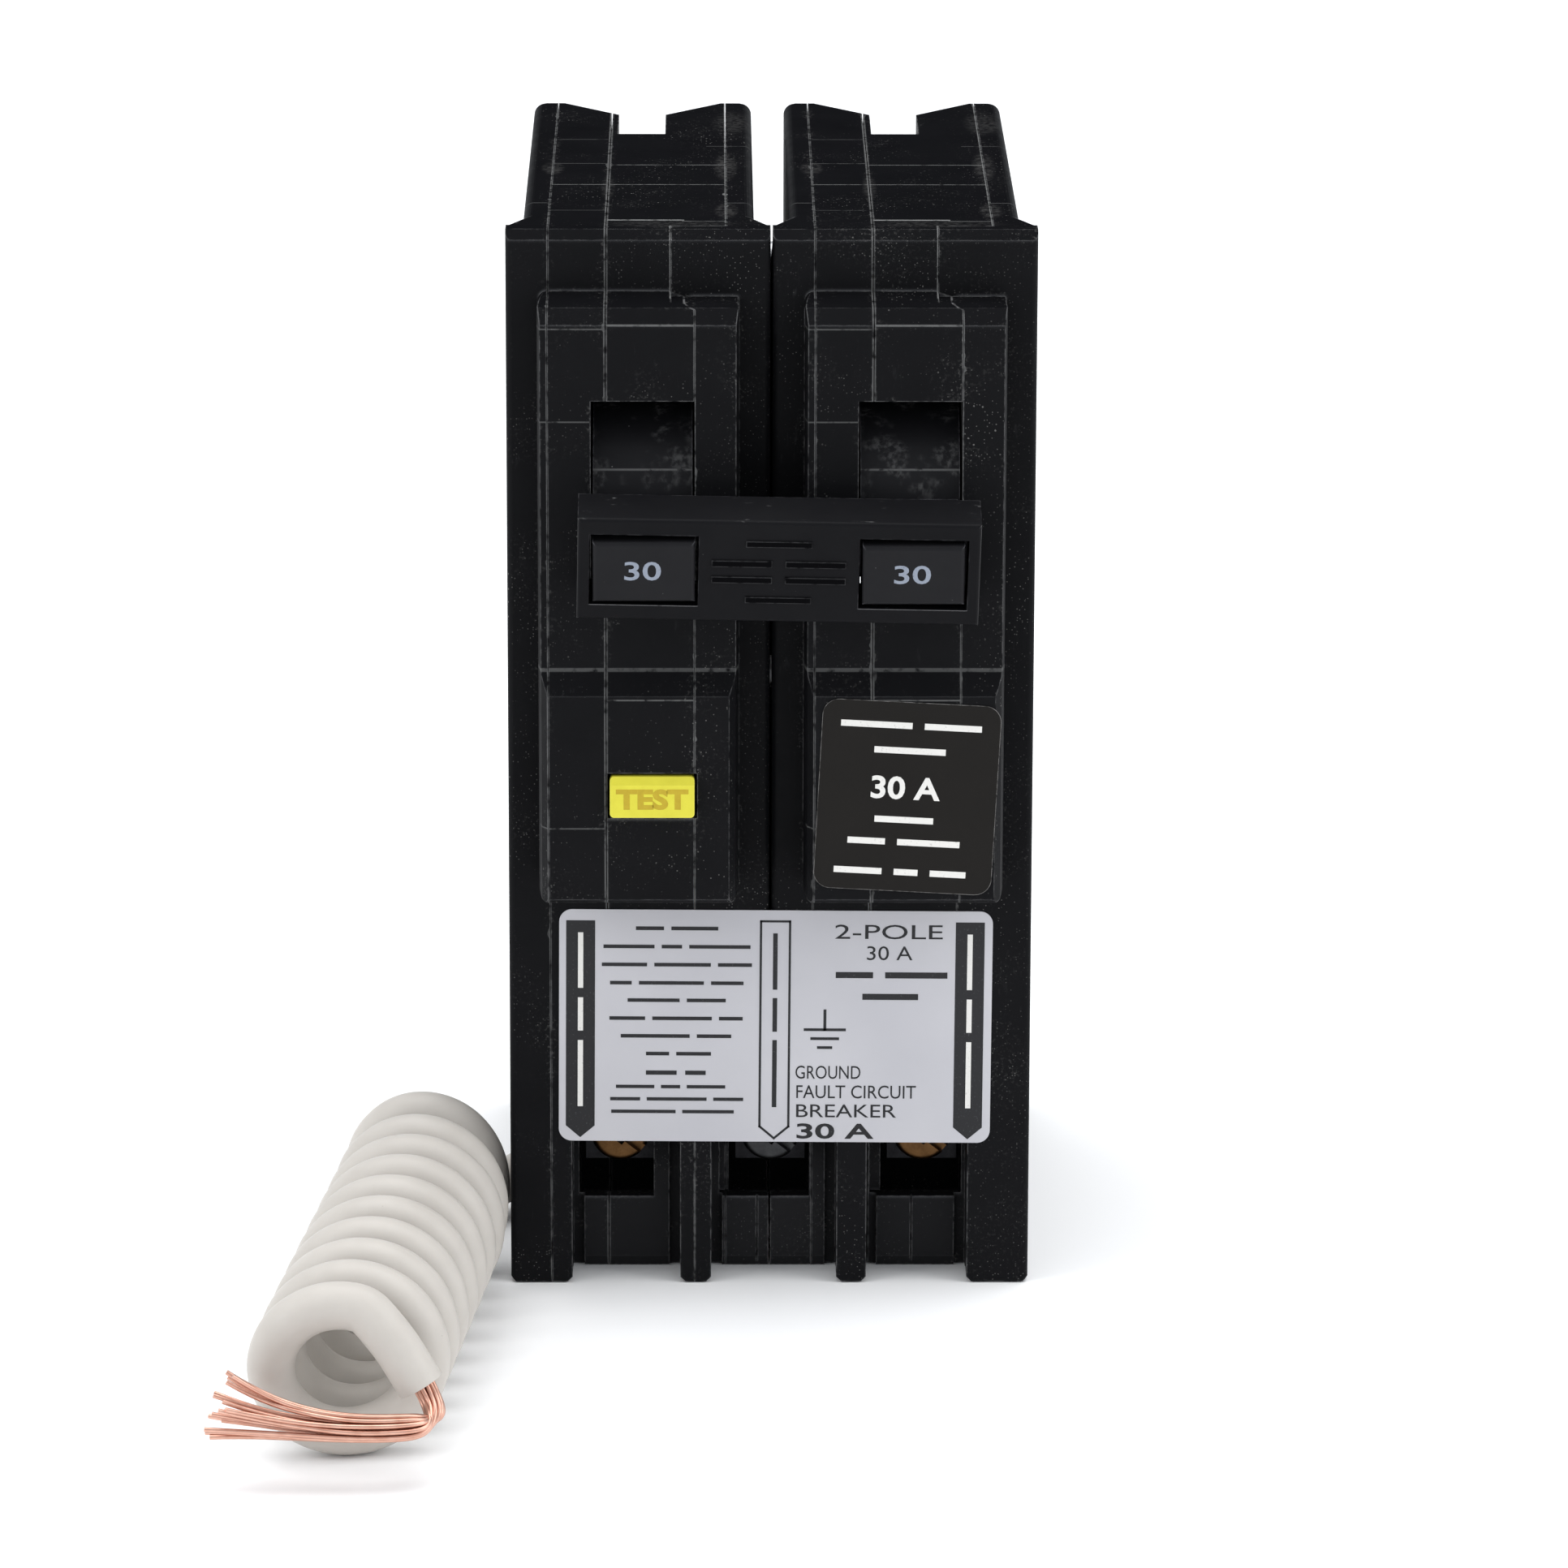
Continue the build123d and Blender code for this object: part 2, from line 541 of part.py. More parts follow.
def load_strap():
    return block((10.5, 14.5), (18.0, 19.2), (19.0, 24.2)) + block((10.5, 14.5), (18.0, 43.0), (23.0, 24.2))


def lug(screw_x):
    """A box lug: the wire enters from below and the screw presses it from the front."""
    body = block((screw_x - LUG_HALF_WIDTH, screw_x + LUG_HALF_WIDTH), LUG_Y, LUG_Z)
    body -= rod_z(screw_x, WIRE_BORE_Y, WIRE_BORE_R, (LUG_Z[0] - 1, LUG_Z[1] - 2.0))
    return body - rod_y(screw_x, SCREW_Z, SCREW_SHANK_R + 0.06, (LUG_Y[0] - 1, WIRE_BORE_Y))


def terminal_screw(screw_x):
    """A domed head with a combination slot, and its shank."""
    head = rod_y(screw_x, SCREW_Z, SCREW_HEAD_R, SCREW_HEAD_Y)
    head = fillet(head.edges().group_by(Axis.Y)[0], 0.6)
    slot_y = (SCREW_HEAD_Y[0] - 1, SCREW_HEAD_Y[0] + 1.1)
    head -= block((screw_x - 3.2, screw_x + 3.2), slot_y, (SCREW_Z - 0.45, SCREW_Z + 0.45))
    head -= block((screw_x - 0.9, screw_x + 0.9), slot_y, (SCREW_Z - 0.9, SCREW_Z + 0.9))
    head = head.rotate(Axis((screw_x, 0, SCREW_Z), (0, 1, 0)), 38.0)
    return head + rod_y(screw_x, SCREW_Z, SCREW_SHANK_R, (SCREW_HEAD_Y[1] - 0.1, 11.4))


POLE_PIECES = {
    "contact_arm": contact_arm, "moving_contact": moving_contact, "fixed_contact": fixed_contact,
    "line_jaw": line_jaw, "cradle": cradle, "arc_chute": arc_chute, "bimetal": bimetal,
    "magnet_yoke": magnet_yoke, "armature": armature, "braid": braid, "load_strap": load_strap,
}


# ---- ground-fault and common parts ----------------------------------------------------------------
def trip_bar():
    """The shaft through both poles, with a latch for each cradle and an arm for the solenoid."""
    bar = rod_x(*TRIP_BAR, TRIP_BAR_R, (POLE_LEFT["left_pole"] + 9.0, POLE_LEFT["right_pole"] + 21.0))
    latch_outline = [(25.0, 57.0), (27.2, 57.0), (27.5, 61.6), (25.6, 61.6)]
    for left in POLE_LEFT.values():
        bar += side_plate(latch_outline, (left + 14.4, left + 15.6))
    left = POLE_LEFT["right_pole"]
    return bar + block((left + 13.9, left + 15.5), (20.5, 26.0), (56.0, 57.0))


def test_button():
    """The push button: rounded corners, a wide bevel along the top, and its stem."""
    depth, height = BUTTON_BEVEL
    body = block(BUTTON_X, (BUTTON_FACE_Y, BUTTON_BACK_Y), BUTTON_Z)
    body = fillet(body.edges().filter_by(Axis.Y), BUTTON_CORNER)
    body += rod_y(13.9, 50.85, 1.0, (BUTTON_BACK_Y - 0.5, 4.5))
    bevel = [(BUTTON_FACE_Y - 1, BUTTON_Z[1] - height), (BUTTON_FACE_Y, BUTTON_Z[1] - height),
             (BUTTON_FACE_Y + depth, BUTTON_Z[1]), (BUTTON_FACE_Y + depth, BUTTON_Z[1] + 1),
             (BUTTON_FACE_Y - 1, BUTTON_Z[1] + 1)]
    return body - side_plate(bevel, (BUTTON_X[0] - 1, BUTTON_X[1] + 1))


def test_contact():
    return block((12.0, 15.8), (6.2, 6.7), (38.0, 54.0)) + block((12.0, 15.8), (5.2, 6.5), (38.0, 39.0))


def sensor_core():
    return rod_x(20.0, 40.0, 8.0, (9.0, 14.0)) - rod_x(20.0, 40.0, 5.5, (8, 15))


def sensor_winding():
    """The insulated winding that wraps the ring core."""
    ring = rod_x(20.0, 40.0, 9.5, (8.0, 15.0)) - rod_x(20.0, 40.0, 4.5, (7, 16))
    core_space = rod_x(20.0, 40.0, 8.05, (8.95, 14.05)) - rod_x(20.0, 40.0, 5.45, (8, 15))
    return ring - core_space


def circuit_board():
    """The board in its narrow bay, with its tallest components."""
    board = block((3.3, 4.7), (8.0, 49.0), (28.0, 76.0))
    chips = (((12, 18), (40, 50)), ((24, 36), (32, 40)), ((28, 34), (52, 60)), ((40, 46), (44, 54)))
    for y, z in chips:
        board += block((4.6, 6.0), y, z)
    return board


def solenoid_bobbin():
    x, y = 14.7, 18.0
    spool = rod_z(x, y, 3.0, (29.0, 45.0)) + rod_z(x, y, 6.0, (29.0, 30.0)) + rod_z(x, y, 6.0, (44.0, 45.0))
    return spool - rod_z(x, y, 2.08, (28.0, 46.0))


def solenoid_winding():
    return rod_z(14.7, 18.0, 5.4, (30.0, 44.0)) - rod_z(14.7, 18.0, 3.0, (29.0, 45.0))


def solenoid_plunger():
    x, y = 14.7, 18.0
    return rod_z(x, y, 2.0, (33.0, 44.5)) + rod_z(x, y, 1.0, (44.0, 58.0)) + rod_z(x, y, 3.2, (57.8, 58.8))


def neutral_link():
    """The strap from the neutral lug up to the sensor."""
    foot = block((16.0, 23.6), (17.9, 19.2), (19.0, 20.2))
    return foot + block((16.0, 18.0), (17.9, 19.2), (19.0, 36.0))


def case_rivets():
    shanks = None
    outer = POLE_PITCH / 2 + POLE_WIDTH / 2
    for y, z in RIVETS:
        rivet = rod_x(y, z, RIVET_R, (-outer + 0.3, outer - 0.3))
        for x in ((-outer + 0.3, -outer + RIVET_HEAD_DEPTH), (outer - RIVET_HEAD_DEPTH, outer - 0.3)):
            rivet += rod_x(y, z, RIVET_HEAD_R, x)
        shanks = rivet if shanks is None else shanks + rivet
    return shanks


def thin_label(centre, size, corner, face_y, turn):
    """A flat label on a front face: centre is (x, z), turn is in degrees."""
    outline = Plane((centre[0], face_y, centre[1]), x_dir=(1, 0, 0), z_dir=(0, -1, 0)) * Rot(0, 0, turn)
    return extrude(outline * RectangleRounded(size[0], size[1], corner), 0.12)


# ---- neutral pigtail ------------------------------------------------------------------------------
COIL_Z = COIL_B + WIRE_D / 2
LEAD_ROUTE = [
    (-18.48, 31.1, 4.0), (-22.57, 26.71, 4.0), (-26.0, 23.0, 3.4), (-29.3, 19.5, 2.5), (-32.2, 15.8, 2.3),
]
STRAND_ROUTE = [(-31.4, -59.5, 8.6), (-31.0, -59.7, 6.0), (-35.4, -60.0, 5.6), (-43.0, -60.4, 6.2),
                (-50.2, -60.6, 8.0)]


def cord_tube(points, diameter, name):
    """Straight runs joined by tangent arcs that are as large as their runs allow."""
    radii = []
    for before, corner, after in zip(points, points[1:], points[2:]):
        first = Vector(*corner) - Vector(*before)
        second = Vector(*after) - Vector(*corner)
        half_turn = math.radians(first.get_angle(second)) / 2
        radii.append(0.45 * min(first.length, second.length) / math.tan(half_turn))
    path = FilletPolyline(*points, radius=radii)
    section = Plane(path @ 0, z_dir=path % 0) * Circle(diameter / 2)
    tube = sweep(section, path)
    expected = math.pi * diameter ** 2 / 4 * path.length
    print(f"{name}: length {path.length:.1f}, radii {[round(r, 1) for r in radii]}, "
          f"volume over section times length {tube.volume / expected:.4f}")
    return tube


def pigtail_coil():
    """One closed solid of the coil's outer shape, lying on its side and drawn in beside the case."""
    ends = (-WIRE_D / 2, 0, WIRE_D / 2)
    outlines = []
    for (y, x, half_width), end in zip(COIL_SECTIONS, ends):
        plane = Plane((x, y + end, COIL_Z), x_dir=(1, 0, 0), z_dir=(0, 1, 0))
        outlines.append(plane * Ellipse(half_width + WIRE_D / 2, COIL_B + WIRE_D / 2))
    return loft(outlines, ruled=True)


def pigtail_grommet():
    """The bushing that the pigtail comes out through."""
    return exit_rod(GROMMET_R, (-GROMMET_LENGTH, 0)) - exit_rod(WIRE_D / 2 + 0.05, (-GROMMET_LENGTH - 1, 1))


# ---- write every piece ----------------------------------------------------------------------------
os.makedirs("parts", exist_ok=True)

for pole, left in POLE_LEFT.items():
    to_pole = Pos(left, 0, 0)
    for name, shell in shells(pole).items():
        save(f"{pole}_{name}", to_pole * shell)
    for name, make in POLE_PIECES.items():
        save(f"{pole}_{name}", to_pole * make())
    lag = RIGHT_HANDLE_LAG if pole == "right_pole" else 0.0
    save(f"{pole}_handle", to_pole * swing(handle(), OFF_ANGLE + lag))
    save(f"{pole}_operating_spring", to_pole * spring((17.5, 15.5, 71.6), (17.5, 33.0, 64.6), 1.2, 0.5, 11))

save("left_pole_load_lug", lug(SCREWS_X[0]))
save("neutral_lug", lug(SCREWS_X[1]))
save("right_pole_load_lug", lug(SCREWS_X[2]))
save("left_pole_load_screw", terminal_screw(SCREWS_X[0]))
save("neutral_screw", terminal_screw(SCREWS_X[1]))
save("right_pole_load_screw", terminal_screw(SCREWS_X[2]))

save("handle_tie", handle_tie())
save("trip_bar", trip_bar())
save("case_rivets", case_rivets())

in_left_pole = Pos(POLE_LEFT["left_pole"], 0, 0)
save("test_button", in_left_pole * test_button())
save("test_button_spring", in_left_pole * spring((13.9, -3.8, 50.85), (13.9, -0.7, 50.85), 1.6, 0.35, 4))
save("test_contact", in_left_pole * test_contact())
save("sensor_core", in_left_pole * sensor_core())
save("sensor_winding", in_left_pole * sensor_winding())
save("circuit_board", in_left_pole * circuit_board())
save("neutral_link", in_left_pole * neutral_link())

in_right_pole = Pos(POLE_LEFT["right_pole"], 0, 0)
save("solenoid_bobbin", in_right_pole * solenoid_bobbin())
save("solenoid_winding", in_right_pole * solenoid_winding())
save("solenoid_plunger", in_right_pole * solenoid_plunger())
save("plunger_spring", in_right_pole * spring((14.7, 18.0, 45.3), (14.7, 18.0, 57.5), 1.9, 0.35, 8))

save("load_label", thin_label((0.5, 25.95), (41.85, 23.3), 1.27, 0.0, -0.35))
save("rating_sticker", thin_label((12.95, 50.75), (17.0, 18.6), 1.6, LOWER_FACE_Y, -3.0))

save("pigtail_grommet", pigtail_grommet())
save("pigtail_lead", cord_tube(LEAD_ROUTE, WIRE_D, "pigtail_lead"))
save("pigtail_coil", pigtail_coil())
save("pigtail_strands", cord_tube(STRAND_ROUTE, 2.6, "pigtail_strands"))
print(f"depth centre {DEPTH_CENTRE:.4f}")
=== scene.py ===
import json
import math
import random

import bpy
from mathutils import Matrix, Vector


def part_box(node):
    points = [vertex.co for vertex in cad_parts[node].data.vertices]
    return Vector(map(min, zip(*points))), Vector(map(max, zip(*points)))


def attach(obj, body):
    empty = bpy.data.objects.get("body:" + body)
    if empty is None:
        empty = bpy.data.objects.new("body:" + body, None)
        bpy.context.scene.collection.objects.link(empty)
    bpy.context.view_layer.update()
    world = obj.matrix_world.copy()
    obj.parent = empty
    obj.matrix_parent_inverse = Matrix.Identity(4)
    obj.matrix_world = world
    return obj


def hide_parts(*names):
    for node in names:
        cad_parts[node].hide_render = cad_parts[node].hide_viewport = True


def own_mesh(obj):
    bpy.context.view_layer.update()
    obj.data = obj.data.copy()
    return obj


# Looks of a two-pole ground-fault breaker. Measures are in millimetres, in the model's working axes:
# X across the poles, Y backwards from the shoulder face, Z up from the load end. at() turns them
# into the frame's metres.

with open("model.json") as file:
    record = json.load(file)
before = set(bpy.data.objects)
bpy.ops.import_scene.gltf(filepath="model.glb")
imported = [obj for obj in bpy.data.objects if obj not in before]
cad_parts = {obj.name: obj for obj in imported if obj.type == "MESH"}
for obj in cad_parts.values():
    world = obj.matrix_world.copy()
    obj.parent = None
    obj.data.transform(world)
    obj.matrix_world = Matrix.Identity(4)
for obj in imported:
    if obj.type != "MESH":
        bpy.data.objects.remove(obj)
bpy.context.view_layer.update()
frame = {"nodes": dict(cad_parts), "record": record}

MM = 0.001
SHOULDER_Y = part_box("load_label")[1][1]          # the label's back lies on the shoulder face
POLE_LEFT = {
    "left_pole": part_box("left_pole_side_cover")[0][0] / MM,
    "right_pole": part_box("right_pole_side_cover")[0][0] / MM,
}
RANDOM = random.Random(30)


def at(x, y, z):
    return Vector((x * MM, SHOULDER_Y + y * MM, z * MM))


# ---- materials ------------------------------------------------------------------------------------
class Finish:
    """A material with short calls for its nodes."""

    def __init__(self, name, colour, roughness, metallic=0.0, specular=0.5, **sockets):
        self.material = bpy.data.materials.new(name)
        self.material.use_nodes = True
        self.nodes = self.material.node_tree.nodes
        self.links = self.material.node_tree.links
        self.shader = self.nodes["Principled BSDF"]
        self.put(self.shader, "Base Color", (*colour, 1.0))
        self.put(self.shader, "Roughness", roughness)
        self.put(self.shader, "Metallic", metallic)
        self.put(self.shader, "Specular IOR Level", specular)
        for socket, value in sockets.items():
            self.put(self.shader, socket.replace("_", " "), value)
        coordinates = self.nodes.new("ShaderNodeTexCoord")
        self.place = coordinates.outputs["Object"]

    def put(self, node, socket, value):
        target = node.inputs[socket]
        if isinstance(value, bpy.types.NodeSocket):
            self.links.new(value, target)
        else:
            target.default_value = value

    def math(self, operation, a, b=0.0, clamp=False):
        node = self.nodes.new("ShaderNodeMath")
        node.operation = operation
        node.use_clamp = clamp
        self.put(node, 0, a)
        self.put(node, 1, b)
        return node.outputs[0]

    def band(self, value, low, high):
        """0 below low and 1 above high, with a smooth step between; the other way round if low > high."""
        node = self.nodes.new("ShaderNodeMapRange")
        node.interpolation_type = "SMOOTHSTEP"
        flip = low > high
        self.put(node, "Value", value)
        self.put(node, "From Min", min(low, high))
        self.put(node, "From Max", max(low, high))
        self.put(node, "To Min", 1.0 if flip else 0.0)
        self.put(node, "To Max", 0.0 if flip else 1.0)
        return node.outputs["Result"]

    def stretched(self, scale):
        node = self.nodes.new("ShaderNodeMapping")
        self.put(node, "Vector", self.place)
        self.put(node, "Scale", scale)
        return node.outputs["Vector"]

    def noise(self, size, detail=3.0, stretch=(1, 1, 1), roughness=0.55):
        """Noise whose blotches are about size millimetres across."""
        node = self.nodes.new("ShaderNodeTexNoise")
        self.put(node, "Vector", self.stretched(stretch))
        self.put(node, "Scale", 1 / (size * MM))
        self.put(node, "Detail", detail)
        self.put(node, "Roughness", roughness)
        return node.outputs["Fac"]

    def specks(self, spacing, largest, share):
        """Round specks, up to largest across, in a share of cells spacing millimetres wide."""
        cells = self.nodes.new("ShaderNodeTexVoronoi")
        self.put(cells, "Vector", self.place)
        self.put(cells, "Scale", 1 / (spacing * MM))
        split = self.nodes.new("ShaderNodeSeparateColor")
        self.put(split, "Color", cells.outputs["Color"])
        kept = self.math("LESS_THAN", split.outputs["Red"], share)
        radius = self.math("MULTIPLY", split.outputs["Green"], largest / spacing / 2)
        inside = self.math("SUBTRACT", radius, cells.outputs["Distance"])
        return self.math("MULTIPLY", self.band(inside, 0.0, 0.04), kept)

    def softened(self, radius):
        """The surface normal as if every edge were rounded to a radius in millimetres."""
        rounded = self.nodes.new("ShaderNodeBevel")
        rounded.samples = 8
        self.put(rounded, "Radius", radius * MM)
        return rounded

    def edges(self, radius, low=0.01, high=0.14):
        """1 close to a sharp edge, falling to 0 about radius millimetres away."""
        rounded = self.softened(radius)
        plain = self.nodes.new("ShaderNodeNewGeometry")
        dot = self.nodes.new("ShaderNodeVectorMath")
        dot.operation = "DOT_PRODUCT"
        self.put(dot, 0, rounded.outputs["Normal"])
        self.put(dot, 1, plain.outputs["Normal"])
        turn = self.math("SUBTRACT", 1.0, dot.outputs["Value"])
        return self.band(turn, low, high)

    def lit_rims(self, radius):
        """The rounded upper rims, which catch the light from above."""
        rounded = self.softened(radius)
        split = self.nodes.new("ShaderNodeSeparateXYZ")
        self.put(split, "Vector", rounded.outputs["Normal"])
        plain = self.nodes.new("ShaderNodeNewGeometry")
        flat = self.nodes.new("ShaderNodeSeparateXYZ")
        self.put(flat, "Vector", plain.outputs["True Normal"])
        rising = self.math("SUBTRACT", split.outputs["Z"], flat.outputs["Z"])
        forward = self.math("MULTIPLY", split.outputs["Y"], -1.0)
        return self.math("MULTIPLY", self.band(rising, 0.12, 0.5), self.band(forward, 0.3, 0.7))

    def mix(self, share, first, second):
        node = self.nodes.new("ShaderNodeMix")
        node.data_type = "RGBA"
        self.put(node, "Factor", share)
        self.put(node, 6, first if isinstance(first, bpy.types.NodeSocket) else (*first, 1.0))
        self.put(node, 7, second if isinstance(second, bpy.types.NodeSocket) else (*second, 1.0))
        return node.outputs[2]

    def axis(self, letter):
        node = self.nodes.new("ShaderNodeSeparateXYZ")
        self.put(node, "Vector", self.place)
        return node.outputs[letter]

    def facing(self, direction):
        """How squarely the surface faces a direction, from 0 to 1."""
        plain = self.nodes.new("ShaderNodeNewGeometry")
        dot = self.nodes.new("ShaderNodeVectorMath")
        dot.operation = "DOT_PRODUCT"
        self.put(dot, 0, plain.outputs["True Normal"])
        self.put(dot, 1, direction)
        return self.math("MAXIMUM", dot.outputs["Value"], 0.0)

    def colour(self, value):
        self.put(self.shader, "Base Color", value)

    def roughness(self, value, low, high):
        node = self.nodes.new("ShaderNodeMapRange")
        self.put(node, "Value", value)
        self.put(node, "To Min", low)
        self.put(node, "To Max", high)
        self.put(self.shader, "Roughness", node.outputs["Result"])

    def bump(self, height, depth):
        """Surface relief of up to depth millimetres."""
        node = self.nodes.new("ShaderNodeBump")
        self.put(node, "Strength", 1.0)
        self.put(node, "Distance", depth * MM)
        self.put(node, "Height", height)
        self.put(self.shader, "Normal", node.outputs["Normal"])


def total(finish, values):
    result = values[0]
    for value in values[1:]:
        result = finish.math("MAXIMUM", result, value)
    return result


# Light flash and dust lines on each pole, in millimetres from the pole's left face, the shoulder and
# the load end. A single value is where the line lies, and a pair is how far it runs.
ON_NOSE = (100.0, 110.0)
ON_FRONT = (-9.0, 1.2)
CROSS_LINES = (
    dict(y=43.8, x=(4.0, 9.4), z=ON_NOSE, strength=0.3),
    dict(y=31.9, x=(4.0, 9.4), z=ON_NOSE, strength=0.35),
    dict(y=31.2, x=(9.6, 20.8), z=ON_NOSE, strength=0.9),
    dict(y=21.75, x=(4.0, 20.8), z=ON_NOSE, strength=0.85),
    dict(y=9.7, x=(4.0, 9.4), z=ON_NOSE, strength=0.25),
    dict(y=40.4, x=(19.0, 24.0), z=ON_NOSE, strength=0.3),
    dict(y=13.1, x=(1.0, 4.0), z=ON_NOSE, strength=0.4),
    dict(y=13.1, x=(20.9, 24.0), z=ON_NOSE, strength=0.4),
    dict(y=5.2, x=(9.6, 16.9), z=ON_NOSE, strength=1.0, half=0.2),
    dict(y=4.7, x=(16.7, 20.9), z=ON_NOSE, strength=0.6),
    dict(z=96.17, x=(9.6, 17.8), y=ON_FRONT, strength=0.5, half=0.09),
    dict(z=95.8, x=(3.0, 9.4), y=ON_FRONT, strength=0.35),
    dict(z=86.9, x=(3.0, 8.0), y=ON_FRONT, strength=0.35),
    dict(z=62.9, x=(3.0, 22.2), y=ON_FRONT, strength=0.35, half=0.16),
    dict(z=60.2, x=(9.6, 17.8), y=ON_FRONT, strength=0.5),
    dict(z=47.6, x=(3.2, 9.4), y=ON_FRONT, strength=0.35),
)
SEAM_LINES = (
    dict(x=3.98, y=(-9.0, 70.0), z=(-1.0, 110.0), strength=0.3),
    dict(x=9.38, y=(-9.0, 70.0), z=(-1.0, 110.0), strength=0.34),
    dict(x=9.62, y=(-9.0, 70.0), z=(-1.0, 110.0), strength=0.22),
    dict(x=15.6, y=(-9.0, 2.6), z=(98.0, 110.0), strength=0.8),
    dict(x=17.9, y=(-9.0, 2.6), z=(-1.0, 97.4), strength=0.5),
    dict(x=20.85, y=(2.6, 70.0), z=ON_NOSE, strength=0.6),
)
LINE_HALF_WIDTH = 0.07
# Rubbed, dusty places on the nose: from the pole's left face and the shoulder, then half sizes and strength.
SMUDGES = (
    dict(x=4.0, y=29.5, across=1.3, along=3.6, strength=0.15),
    dict(x=20.9, y=30.5, across=1.3, along=8.0, strength=0.17),
    dict(x=20.9, y=9.5, across=1.3, along=4.0, strength=0.17),
    dict(x=21.5, y=52.0, across=2.2, along=7.0, strength=0.11),
    dict(x=9.5, y=20.5, across=0.8, along=7.0, strength=0.12),
    dict(x=15.5, y=3.4, across=7.5, along=2.0, strength=0.10),
)
DUST_GREY = (0.17, 0.172, 0.17)


def drawn_line(finish, axes, line, swelling):
    """A light line on a pole's case, thicker where dust has gathered on it."""
    mask = line["strength"]
    for letter in "xyz":
        value = line[letter]
        if isinstance(value, tuple):
            middle, reach = (value[0] + value[1]) / 2, (value[1] - value[0]) / 2
            away = finish.math("ABSOLUTE", finish.math("SUBTRACT", axes[letter], middle))
            part = finish.math("LESS_THAN", away, reach)
        else:
            away = finish.math("ABSOLUTE", finish.math("SUBTRACT", axes[letter], value))
            away = finish.math("SUBTRACT", away, swelling)
            half = line.get("half", LINE_HALF_WIDTH)
            part = finish.band(away, half * 1.5, half * 0.5)
        mask = finish.math("MULTIPLY", part, mask)
    return mask


def smudge(finish, axes, place):
    """A soft-edged dusty patch on a pole's nose."""
    parts = []
    for letter, reach in (("x", place["across"]), ("y", place["along"])):
        away = finish.math("SUBTRACT", axes[letter], place[letter])
        parts.append(finish.math("POWER", finish.math("ABSOLUTE", finish.math("DIVIDE", away, reach)), 2.0))
    distance = finish.math("ADD", *parts)
    mask = finish.math("MULTIPLY", finish.band(distance, 1.0, 0.0), place["strength"])
    return finish.math("MULTIPLY", mask, finish.band(axes["z"], ON_NOSE[0], ON_NOSE[0] + 3))


